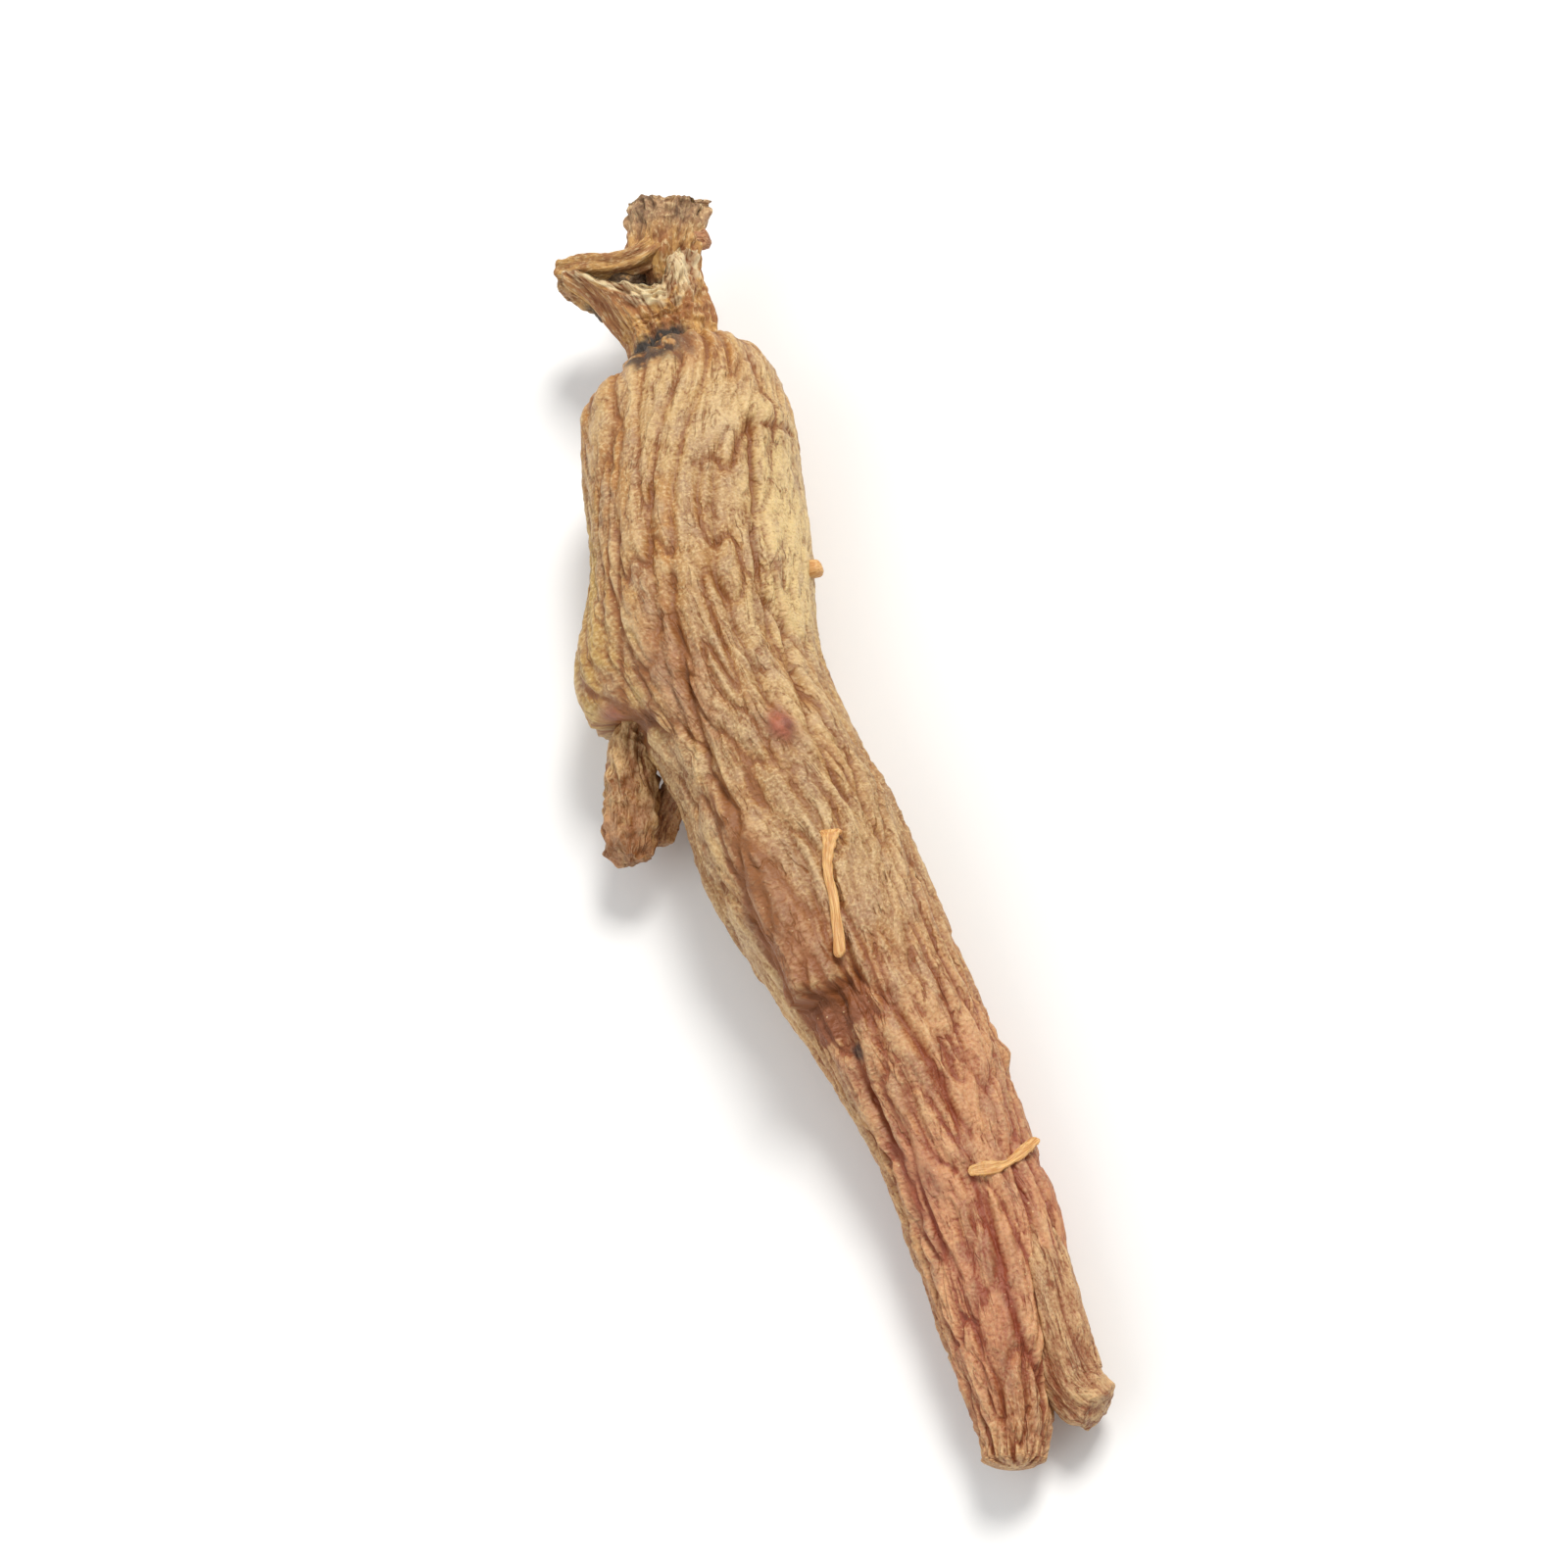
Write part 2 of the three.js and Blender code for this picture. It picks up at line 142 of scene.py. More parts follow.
# %% A smooth curve, a soft step and fixed random numbers
def curve_through(points, share):
    """Catmull-Rom curve: from point to point, a cubic that has at each the slope between its neighbours.

    The share goes from 0 at the first point to 1 at the last, in equal steps from point to point.
    """
    points = np.asarray(points, float)
    last = len(points) - 1
    padded = np.vstack([2 * points[0] - points[1], points, 2 * points[-1] - points[-2]])
    place = np.clip(share, 0, 1) * last
    piece = np.minimum(place.astype(int), last - 1)
    t = (place - piece)[..., None]
    before, start, end, after = (padded[piece + step] for step in range(4))
    slope_start, slope_end = (end - before) / 2, (after - start) / 2
    cubic = (2 * start - 2 * end + slope_start + slope_end) * t**3
    square = (3 * end - 3 * start - 2 * slope_start - slope_end) * t**2
    return cubic + square + slope_start * t + start


def soft_step(value, low, high):
    """0 below low, 1 above high, and 3t^2 - 2t^3 between them."""
    t = np.clip((value - low) / (high - low), 0, 1)
    return t * t * (3 - 2 * t)


SCATTER_TURN, SCATTER_SIZE = 12.9898, 43758.5453


def scatter(seed):
    """The same number from 0 to 1 for the same seed: the fraction in size * sin(turn * seed)."""
    wave = np.sin(seed * SCATTER_TURN) * SCATTER_SIZE
    return wave - np.floor(wave)


def turn_between(start, end):
    """The shortest way from one angle to another, between minus and plus half a turn."""
    turn = (end - start) / TURN
    return (turn - np.round(turn)) * TURN


print("a soft step, a quarter of the way and halfway:", soft_step(0.25, 0, 1), soft_step(0.5, 0, 1))

# %% [markdown]
# ## Noise
# Skin, bark and torn edges are uneven at every size. Noise gives that unevenness and still comes out the
# same each time, because its random directions are drawn once from a fixed seed.

# %% Gradient noise, worked out for whole arrays at once
NOISE_TABLE = 256
noise_source = np.random.default_rng(7)
noise_order = noise_source.permutation(NOISE_TABLE)
noise_ways = noise_source.normal(size=(NOISE_TABLE, 3))
noise_ways /= np.linalg.norm(noise_ways, axis=1, keepdims=True)


def noise(x, y, z):
    """Gradient noise, which lies within about -0.7 to 0.7.

    Each corner of the cell round the point has a fixed random direction. Its dot product with the way from
    the corner is blended between the eight corners by 6t^5 - 15t^4 + 10t^3.
    """
    place = np.stack(np.broadcast_arrays(x, y, z), -1)
    cell = np.floor(place).astype(int)
    inside = place - cell
    weight = inside**3 * (inside * (inside * 6 - 15) + 10)
    total = np.zeros(place.shape[:-1])
    for corner in np.ndindex(2, 2, 2):
        corner = np.array(corner)
        i, j, k = np.moveaxis(cell + corner, -1, 0)
        row = noise_order[(noise_order[(noise_order[i % NOISE_TABLE] + j) % NOISE_TABLE] + k) % NOISE_TABLE]
        share = np.prod(np.where(corner == 1, weight, 1 - weight), axis=-1)
        total += share * np.sum(noise_ways[row] * (inside - corner), axis=-1)
    return total


noise_sample = noise(*np.random.default_rng(1).uniform(0, 50, (3, 9999)))
print("noise runs from", noise_sample.min().round(2), "to", noise_sample.max().round(2))

# %% [markdown]
# ## A ring of skin carried along a path
# Each ring is an ellipse across the path. The first and last few rings close the ends, as a dome or as a
# pit behind a torn rim. Relief is added along the ring's outward direction, so it never folds over.

# %% Rings along a path
NUDGE = 1e-4


def ring_grid(sections, around, rows, cap_rows, turn=None):
    """The grid on which a skin is worked out: one row for each ring, one column for each direction.

    side = up x path and upward = path x side are the ring's own axes. The angle is 0 at the side and 90 at
    the top, and before is that angle without the turn of the furrows. Start and end go up to a quarter
    turn as the first and last rings close the skin.
    """
    sections = np.asarray(sections, float)
    ring = np.arange(rows + 1)
    share = np.clip((ring - cap_rows) / (rows - 2 * cap_rows), 0, 1)
    middle = curve_through(sections[:, :3], share)
    half = curve_through(sections[:, 3:5], share)
    onward = curve_through(sections[:, :3], share + NUDGE) - curve_through(sections[:, :3], share - NUDGE)
    onward /= np.linalg.norm(onward, axis=1, keepdims=True)
    side = np.cross([0, 0, 1], onward)
    side /= np.linalg.norm(side, axis=1, keepdims=True)
    before = np.broadcast_to(np.pi - TURN * np.arange(around) / around, (rows + 1, around))
    y = np.broadcast_to(middle[:, 1:2], before.shape)
    steps = np.linalg.norm(np.diff(middle, axis=0), axis=1)
    length = np.concatenate([[0], np.cumsum(steps)])[:, None] + 0 * before
    into_start = np.clip(1 - ring / cap_rows, 0, 1)[:, None] * np.pi / 2 + 0 * before
    into_end = np.clip(1 - (rows - ring) / cap_rows, 0, 1)[:, None] * np.pi / 2 + 0 * before
    return SimpleNamespace(
        middle=middle[:, None],
        onward=onward[:, None],
        side=side[:, None],
        upward=np.cross(onward, side)[:, None],
        half_width=half[:, :1],
        half_height=half[:, 1:2],
        radius=half.mean(axis=1, keepdims=True) + 0 * before,
        before=before,
        angle=before + (turn(before, y) if turn else 0),
        y=y,
        length=length,
        share=share[:, None] + 0 * before,
        start=into_start,
        end=into_end,
    )


def skin_places(grid, height, start, end):
    """Points of the skin: middle + ellipse + height along the ellipse's normal, drawn in at the ends.

    A ring shrinks by the cosine of how far it has gone round an end, and moves along the path by that
    end's form.
    """
    across, over = np.cos(grid.angle), np.sin(grid.angle)
    lean_side, lean_up = across / grid.half_width, over / grid.half_height
    length = np.hypot(lean_side, lean_up)
    shrink = np.cos(grid.start) * np.cos(grid.end)
    shrink[[0, -1]] = 0
    sideways = shrink * (grid.half_width * across + height * lean_side / length)
    upwards = shrink * (grid.half_height * over + height * lean_up / length)
    along = end(grid.end) - start(grid.start)
    places = grid.middle + sideways[..., None] * grid.side + upwards[..., None] * grid.upward
    places = places + along[..., None] * grid.onward
    places[..., 2] = np.maximum(places[..., 2], 0)
    return places


# %% The same skin as a straight tube, and the two kinds of end
NOISE_RADIUS = 8.0
NARROWING = 0.6


def straightened(grid):
    """The skin as a straight tube: x and z are radius * cosine and sine of the angle, y is the length.

    The tube narrows more slowly than the root does, with (radius / 8)^0.6, so wrinkles draw together on
    the thin parts without getting too fine. Over the ends it closes as a ball does.
    """
    narrowed = NOISE_RADIUS * (grid.radius / NOISE_RADIUS) ** NARROWING
    narrowed = narrowed * np.cos(grid.start) * np.cos(grid.end)
    length = grid.length + grid.radius * (np.sin(grid.end) - np.sin(grid.start))
    return np.stack([np.cos(grid.before) * narrowed, length, np.sin(grid.before) * narrowed], -1)


def dome(length):
    """An end that stands out: length times the sine of how far round it is."""
    return lambda quarter: length * np.sin(quarter)


def pit(lip, depth):
    """A torn end, lip * sin(2 quarter) - depth * (1 - cos(quarter)): a lip, and a hollow inside it."""
    return lambda quarter: lip * np.sin(2 * quarter) - depth * (1 - np.cos(quarter))


print("a pit 2.4 mm deep ends", pit(0.5, 2.4)(np.pi / 2).round(2), "mm from the rim")

# %% A grid of points becomes a mesh with its markings
def skin_piece(name, grid, places, markings, material):
    """One closed mesh: quads between the rings, and a fan of triangles on the single point at each end.

    Each marking is a number at every grid point, kept as an attribute that the material reads. One more
    attribute holds the skin as if it were a straight tube, in mm.
    """
    rows, around = places.shape[0] - 1, places.shape[1]

    def one_end_point(values):
        """The grid's rows one after another, with a single point for the first row and for the last."""
        return np.concatenate([values[:1, 0], values[1:-1].reshape(-1, *values.shape[2:]), values[-1:, 0]])

    points = one_end_point(places) * MM
    last = len(points) - 1
    ring = np.arange(rows - 2)[:, None] * around + 1
    column = np.arange(around)[None, :]
    following = (column + 1) % around
    next_ring = ring + around
    quads = np.stack([ring + column, next_ring + column, next_ring + following, ring + following], -1)
    last_ring = last - around
    start_fan = np.stack([0 * column, 1 + column, 1 + following], -1)[0]
    end_fan = np.stack([0 * column + last, last_ring + following, last_ring + column], -1)[0]
    corners = np.concatenate([start_fan.ravel(), quads.ravel(), end_fan.ravel()])
    sizes = np.concatenate([np.full(around, 3), np.full(quads.size // 4, 4), np.full(around, 3)])

    mesh = bpy.data.meshes.new(name)
    mesh.vertices.add(len(points))
    mesh.vertices.foreach_set("co", points.ravel())
    mesh.loops.add(len(corners))
    mesh.loops.foreach_set("vertex_index", corners)
    mesh.polygons.add(len(sizes))
    mesh.polygons.foreach_set("loop_start", np.concatenate([[0], np.cumsum(sizes)[:-1]]))
    mesh.polygons.foreach_set("use_smooth", np.ones(len(sizes), bool))
    for marking, values in markings.items():
        layer = mesh.attributes.new(marking, "FLOAT", "POINT")
        spread = np.broadcast_to(values, places.shape[:2])
        layer.data.foreach_set("value", one_end_point(spread).astype(np.float32))
    straight = mesh.attributes.new("straightened", "FLOAT_VECTOR", "POINT")
    straight.data.foreach_set("vector", one_end_point(straightened(grid)).astype(np.float32).ravel())
    mesh.update(calc_edges=True)
    mesh.validate()
    mesh.materials.append(material)
    piece = bpy.data.objects.new(name, mesh)
    bpy.context.scene.collection.objects.link(piece)
    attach(piece, "root")
    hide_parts("ginseng_root")
    halves = [points[quads[..., [0, k, k + 1]]] for k in (1, 2)]
    volume = sum(np.linalg.det(half).sum() for half in halves) / 6 / MM**3
    print(f"{name}: {np.sum(sizes - 2)} triangles, {volume:.1f} cubic mm, faces outwards: {volume > 0}")


# %% [markdown]
# ## Relief
# Drying draws the skin into furrows of several sizes. The long ones, the deep creases and the bumps could
# be cut by hand with a sculpting brush, but here they repeat the solid's own rules, number for number, so
# that the fine skin and the coarse solid are the same root.

# %% Long furrows, deep creases and bumps, as in the solid
FURROWS = 16
COLUMNS_PER_FURROW = 4
FURROW_HALF_WIDTH = 1.3
NARROWEST_FURROW = 0.28
MEANDER, MEANDER_LENGTH = 0.1, 46
WANDER, WANDER_LENGTH = 0.05, 21
FADE_LENGTH = 34
FAINTEST_FURROW = 0.3
SHIFT_SEED, FADE_SEED = 31, 61
VALLEY_SHARPNESS = 1.5

# A crease has its depth, its half width and its course, given as (y in mm, angle in degrees)
CREASES = [
    (0.9, 1.1, [(22, 44), (12, 46), (6.7, 49), (2.8, 38), (-1.5, 43), (-6, 54)]),
    (0.9, 1.0, [(17, 67), (7, 72), (3.7, 70), (0, 67), (-3.4, 70)]),
    (0.8, 1.0, [(16, 100), (6.6, 108), (0.5, 119), (-3.4, 128)]),
    (1.1, 1.2, [(9, 95), (3, 101), (-1.3, 114), (-5.8, 122), (-9.7, 112), (-15, 127), (-21, 135)]),
    (1.0, 1.2, [(15, 124), (8.9, 133), (5.7, 140), (2.9, 149), (1, 156)]),
    (0.6, 1.0, [(-7, 66), (-11, 56), (-15, 49)]),
    (0.9, 1.0, [(-22, 100), (-27.6, 86), (-34, 81), (-37.2, 72)]),
    (1.1, 1.2, [(-23.8, 104), (-25.5, 122), (-30, 131), (-34, 132), (-41, 136)]),
    (1.1, 1.0, [(-39.5, 83), (-47.4, 80), (-50.2, 69), (-52, 51), (-53.6, 32)]),
    (0.9, 1.0, [(-43.5, 124), (-49.2, 112), (-52, 103), (-56.4, 97)]),
]
# A bump has its height, the y and the angle of its middle, and its reach along and round in mm
BUMPS = [
    (0.7, -5.4, 71, 1.5, 1.4),
    (0.5, -31.8, 0, 1.3, 1.3),
    (0.5, 23, 30, 3.5, 3.5),
    (0.6, 27, 140, 3, 4),
    (0.8, -17, 318, 2, 2),
    (0.7, 9, 322, 1.8, 2.2),
    (0.8, -12, 215, 2.2, 2),
    (-0.7, 3, 166, 1.6, 2.5),
]


def furrow_turn(angle, y):
    """How far the furrows have turned: a long sine of y, and a short one that differs round the root."""
    long_wave = MEANDER * np.sin(TURN * y / MEANDER_LENGTH)
    return long_wave + WANDER * np.sin(TURN * y / WANDER_LENGTH + 2 * angle)


def furrow_depth(before, y, radius):
    """V-shaped valleys, (1 - distance / half width)^1.5, unevenly spaced, that fade in and out."""
    half_width = np.minimum(FURROW_HALF_WIDTH, NARROWEST_FURROW * radius)
    depth = np.zeros(before.shape)
    for k in range(FURROWS):
        shift = np.floor((COLUMNS_PER_FURROW - 1) * scatter(k + SHIFT_SEED)) / COLUMNS_PER_FURROW
        across = np.abs(turn_between(TURN * (k + shift) / FURROWS, before)) * radius / half_width
        fade = 0.5 + 0.5 * np.sin(TURN * (y / FADE_LENGTH + scatter(k + FADE_SEED)))
        strength = FAINTEST_FURROW + (1 - FAINTEST_FURROW) * fade
        depth = np.maximum(depth, strength * np.maximum(0, 1 - across) ** VALLEY_SHARPNESS)
    return depth


def distance_to_course(course, angle, y, radius):
    """Distance on the skin to a broken line, in mm: to each stretch's nearest point, whichever is least."""
    nearest = np.full(angle.shape, np.inf)
    for (start_y, start_turn), (end_y, end_turn) in zip(course, course[1:]):
        along = end_y - start_y
        round_it = (end_turn - start_turn) * DEGREE * radius
        off_along = y - start_y
        off_round = turn_between(start_turn * DEGREE, angle) * radius
        held = np.clip((off_along * along + off_round * round_it) / (along**2 + round_it**2), 0, 1)
        nearest = np.minimum(nearest, np.hypot(off_along - held * along, off_round - held * round_it))
    return nearest


def crease_depth(angle, y, radius):
    """The deepest of the listed creases, each depth * (1 - distance / half width)^1.5."""
    depth = np.zeros(angle.shape)
    for deepest, half_width, course in CREASES:
        across = distance_to_course(course, angle, y, radius) / half_width
        depth = np.maximum(depth, deepest * np.maximum(0, 1 - across) ** VALLEY_SHARPNESS)
    return depth


def spot(angle, y, radius, middle_y, middle_turn, reach_along, reach_round):
    """1 in the middle of an oval on the skin and 0 at its edge, by a soft step."""
    round_it = turn_between(middle_turn * DEGREE, angle) * radius
    return 1 - soft_step(np.hypot((y - middle_y) / reach_along, round_it / reach_round), 0, 1)


print(FURROWS, "long furrows,", len(CREASES), "deep creases and", len(BUMPS), "bumps")

# %% [markdown]
# ## The side lobe and the belly
# On the left the root swells where a side root once grew, and the swelling ends in a slanted step. Where
# the wet root lay on its tray, the belly dried flat, with shallower wrinkles. Both are soft steps in angle
# and in length, as in the solid.

# %% The lobe on the left, and the flat belly
LOBE_HEIGHT = 3.0
LOBE_START, LOBE_FULL, LOBE_STEP, LOBE_STEP_END = 15, 4.6, 4.1, 2.9
LOBE_SLANT, LOBE_SLANT_REACH = 2.0, 35
LOBE_MIDDLE, LOBE_REACH, LOBE_CREST = 192, 58, 0.2
BELLY_RELIEF, BELLY_REACH = 0.4, 32


def lobe_height(angle, y):
    """A swelling that grows towards the tail and ends in a step, which comes later on the upper side."""
    away = np.abs(turn_between(LOBE_MIDDLE * DEGREE, angle)) / (LOBE_REACH * DEGREE)
    above = turn_between(angle, np.pi) / (LOBE_SLANT_REACH * DEGREE)
    later = LOBE_SLANT * np.clip(above, 0, 1)
    swell = (1 - soft_step(y, LOBE_FULL, LOBE_START)) * soft_step(y + later, LOBE_STEP_END, LOBE_STEP)
    return LOBE_HEIGHT * (1 - soft_step(away, LOBE_CREST, 1)) * swell


def belly_share(angle):
    """How much of the relief is left: all of it on the back, and less where the root lay while it dried."""
    from_down = np.abs(turn_between(-np.pi / 2, angle)) / (BELLY_REACH * DEGREE)
    return BELLY_RELIEF + (1 - BELLY_RELIEF) * soft_step(from_down, 0.5, 1)


print("a swell of", lobe_height(np.pi, np.array(LOBE_FULL)).round(2), "mm on the left")

# %% [markdown]
# ## The rootlet on the front
# One thin side root was pressed down along the front and dried onto it, and its tip was torn off. It could
# be a tube of its own, but its sides melt into the skin, so here it is a ridge in the body's relief, with
# a steep left side and a soft right one.

# %% The rootlet that dried flat against the front
ROOTLET_COURSE = [(-7.5, 116), (-12, 114), (-15.7, 116), (-19, 119), (-22, 124), (-23.8, 127)]
ROOTLET_HALF_WIDTH = [(-7, 1.0), (-12, 1.7), (-19, 2.4), (-23.8, 2.3)]
ROOTLET_RISE = [(-6, 0), (-11, 0.9), (-19, 1.7), (-23.8, 2.1)]
ROOTLET_END, ROOTLET_EDGE = -23.8, 0.35
ROOTLET_SOFT_SIDE = 1.5


def along_the_root(points, y):
    """Straight lines between (y, value) pairs that run towards the tail."""
    places, values = zip(*points)
    return np.interp(-y, -np.array(places), values)


def across_rootlet(angle, y, radius):
    """Distance round the root from the rootlet's middle, in half widths and positive to the left."""
    off = turn_between(along_the_root(ROOTLET_COURSE, y) * DEGREE, angle) * radius
    return off / along_the_root(ROOTLET_HALF_WIDTH, y)


def rootlet_height(angle, y, radius, ragged):
    """A low ridge that ends in a ragged step: rise * (1 - across^2)^0.5 on its steep left side.

    On the right, where across is negative, it slopes off as rise * (1 + across / 1.5)^2 * (1 - across).
    """
    across = across_rootlet(angle, y, radius)
    steep = np.maximum(0, 1 - across**2) ** 0.5
    soft = np.maximum(0, 1 + across / ROOTLET_SOFT_SIDE) ** 2 * (1 - across)
    ends_here = soft_step(y, ROOTLET_END + ragged, ROOTLET_END + ROOTLET_EDGE + ragged)
    profile = np.where(across > 0, steep, np.minimum(1, soft))
    return along_the_root(ROOTLET_RISE, y) * profile * ends_here


print("the rootlet is", round(ROOTLET_COURSE[0][0] - ROOTLET_END, 1), "mm long")

# %% [markdown]
# ## Finer wrinkles
# Between the long furrows, finer ones join and part like the lines of a net. Noise crosses zero along just
# such lines. Dividing its size by its slope gives the distance to them in mm, so each furrow keeps one
# width.

# %% Noise on the skin, and the lines in it
def stretched_noise(grid, across, along, offset=0.0):
    """Noise on the skin whose spots are about across mm wide and along mm long."""
    x, y, z = np.moveaxis(straightened(grid), -1, 0)
    return noise(x / across + offset, y / along + 1.7 * offset, z / across)


def valleys(values, width, sharpness=1.3):
    """Joining and parting lines: (1 - size / width)^sharpness, which is 1 where noise crosses zero."""
    return np.maximum(0, 1 - np.abs(values) / width) ** sharpness


FLATTEST_SLOPE = 0.12


def distance_to_line(values, grid):
    """How many mm round the skin it is to where the noise crosses zero: its size divided by its slope.

    A least slope keeps the flat places, where the noise hardly changes, from counting as lines.
    """
    step = TURN * grid.radius / values.shape[1]
    slope = (np.roll(values, -1, axis=1) - np.roll(values, 1, axis=1)) / (2 * step)
    return np.abs(values) / np.hypot(slope, FLATTEST_SLOPE)


print("the least slope that counts is", FLATTEST_SLOPE, "per mm")

# %% [markdown]
# ## Colour and finish
# Steamed roots turn from cream to red-brown, and drying leaves the ridges paler than the furrows, with
# painted highlights on the crests besides. The colours could be painted by hand, but they follow the
# wrinkles: each point carries how deep it lies and which part of the root it is on. A material mixes its
# colours by those markings and breaks them up with noise. Some markings are painted light and shade:
# highlights on the crests and the right shoulder, glints on the grain, a glow at the thin left edge, and
# shade in the cup's mouth, under the rootlet and on the lobe's step.

# %% Paints and a small helper for material nodes
SEEP_COLOURS = (0.8, 0.5, 0.2)
SEEP_DEPTH = 0.6 * MM


def paint(red, green, blue):
    """A screen colour from 0 to 255, as the light that the shader wants.

    A part c, as a share of 255, becomes ((c + 0.055) / 1.055)^2.4, or c / 12.92 when it is dark.
    """
    c = np.array([red, green, blue]) / 255
    return (*np.where(c > 0.04045, ((c + 0.055) / 1.055) ** 2.4, c / 12.92), 1.0)


class Recipe:
    """A material's nodes, added one at a time. An input takes a number, a colour or an output."""

    def __init__(self, name, roughness, subsurface):
        self.material = bpy.data.materials.new(name)
        self.material.use_nodes = True
        self.nodes = self.material.node_tree.nodes
        self.links = self.material.node_tree.links
        self.shader = self.nodes["Principled BSDF"]
        self.shader.inputs["Roughness"].default_value = roughness
        self.shader.inputs["Subsurface Weight"].default_value = subsurface
        self.shader.inputs["Subsurface Radius"].default_value = SEEP_COLOURS
        self.shader.inputs["Subsurface Scale"].default_value = SEEP_DEPTH
        self.place = self.mark("straightened", "Vector")

    def feed(self, socket, value):
        """An input takes another node's output by a link, and a number or a colour as it is."""
        if isinstance(value, bpy.types.NodeSocket):
            self.links.new(value, socket)
        else:
            socket.default_value = value

    def mark(self, name, output="Fac"):
        """A marking of the mesh."""
        node = self.nodes.new("ShaderNodeAttribute")
        node.attribute_name = name
        return node.outputs[output]

    def scaled(self, across, along, offset):
        """The straightened skin, with one unit for each size in mm."""
        mapping = self.nodes.new("ShaderNodeMapping")
        self.links.new(self.place, mapping.inputs["Vector"])
        mapping.inputs["Scale"].default_value = (1 / across, 1 / along, 1 / across)
        mapping.inputs["Location"].default_value = (offset, offset, offset)
        return mapping.outputs["Vector"]

    def mottle(self, across, along, offset=0.0, detail=3.0, wander=0.0):
        """Noise with spots this many mm across and along the skin, from 0 to 1 and mostly near 0.5."""
        node = self.nodes.new("ShaderNodeTexNoise")
        node.inputs["Scale"].default_value = 1.0
        node.inputs["Detail"].default_value = detail
        node.inputs["Distortion"].default_value = wander
        self.links.new(self.scaled(across, along, offset), node.inputs["Vector"])
        return node.outputs["Fac"]

    def lines(self, across, along, width, offset=0.0):
        """1 on thin lines that part and join, where the noise is near 0.5, and 0 off them."""
        noise_here = self.mottle(across, along, offset, detail=2.0, wander=0.5)
        return self.between(self.math("ABSOLUTE", self.math("SUBTRACT", noise_here, 0.5), 0), width, 0.0)

    def cells(self, across, along, offset, feature):
        """How far it is to the middle or the border of the nearest cell, with a cell's two sizes in mm."""
        node = self.nodes.new("ShaderNodeTexVoronoi")
        node.feature = feature
        node.inputs["Scale"].default_value = 1.0
        self.links.new(self.scaled(across, along, offset), node.inputs["Vector"])
        return node.outputs["Distance"]

    def pebbles(self, across, along, offset=0.0):
        """0 on the borders of stretched cells and 1 well inside them."""
        return self.between(self.cells(across, along, offset, "DISTANCE_TO_EDGE"), 0.0, 0.3)

    def specks(self, size, radius):
        """1 inside small round specks that lie in cells of this size, and 0 outside."""
        return self.between(self.cells(size, size, 0.0, "F1"), radius, 0.6 * radius)

    def math(self, operation, first, second):
        """One arithmetic step on two values."""
        node = self.nodes.new("ShaderNodeMath")
        node.operation = operation
        self.feed(node.inputs[0], first)
        self.feed(node.inputs[1], second)
        return node.outputs[0]

    def product(self, first, second):
        """One value times another."""
        return self.math("MULTIPLY", first, second)

    def total(self, *weighted):
        """The sum of values, each with its weight."""
        parts = [self.product(value, weight) for value, weight in weighted]
        result = parts[0]
        for part in parts[1:]:
            result = self.math("ADD", result, part)
        return result

    def between(self, value, low, high):
        """0 at low and 1 at high, held to that range beyond them, and soft at both."""
        node = self.nodes.new("ShaderNodeMapRange")
        node.interpolation_type = "SMOOTHSTEP"
        self.feed(node.inputs["Value"], value)
        node.inputs["From Min"].default_value = low
        node.inputs["From Max"].default_value = high
        return node.outputs["Result"]

    def blend(self, share, first, second):
        """The first colour where the share is 0 and the second where it is 1."""
        node = self.nodes.new("ShaderNodeMix")
        node.data_type = "RGBA"
        self.feed(node.inputs[0], share)
        self.feed(node.inputs[6], first)
        self.feed(node.inputs[7], second)
        return node.outputs[2]

    def finish(self, colour, height, depth, roughness):
        """The finished material: its colour, its roughness, and a bump this many mm high."""
        bump = self.nodes.new("ShaderNodeBump")
        bump.inputs["Strength"].default_value = 1.0
        bump.inputs["Distance"].default_value = depth * MM
        self.feed(bump.inputs["Height"], height)
        self.links.new(bump.outputs["Normal"], self.shader.inputs["Normal"])
        self.feed(self.shader.inputs["Base Color"], colour)
        self.feed(self.shader.inputs["Roughness"], roughness)
        print(f"{self.material.name}: {len(self.nodes)} nodes")
        return self.material


# %% [markdown]
# ## The skin's material
# The skin is tan with red-brown furrows, honey-coloured beside the furrows, and redder towards the tail.
# Painted highlights make the crests cream and fleck the grain with glints. It is dull, with a little light
# seeping in as through wax. One material serves the body, the toes and the rootlets, because all of
# these come from the markings.

# %% The skin's paints, and the material
TAN, DULL_TAN = paint(188, 150, 98), paint(172, 134, 90)
ROSE_TAN, DULL_ROSE = paint(208, 152, 106), paint(190, 126, 86)
EDGE_GLOW_GOLD, AMBER, SKIN_CREAM = paint(182, 148, 76), paint(176, 122, 60), paint(218, 190, 132)
MAUVE, RED_MAUVE = paint(164, 130, 98), paint(158, 104, 76)
# Painted light: a highlight for the crests, glints for the grain, and pale specks that are both dust and
# glints
CREST_HIGHLIGHT, GRAIN_GLINT, DUST_AND_GLINT = paint(220, 190, 140), paint(224, 196, 146), paint(240, 214, 156)
SCAR_RED, DARK_SCAR = paint(166, 96, 68), paint(134, 76, 56)
FURROW_BROWN, FURROW_RED = paint(138, 84, 38), paint(146, 70, 42)
# Nearly black, for the dark ring, a dark spot and painted shade
SKIN_DARK_AND_SHADE = paint(48, 33, 26)


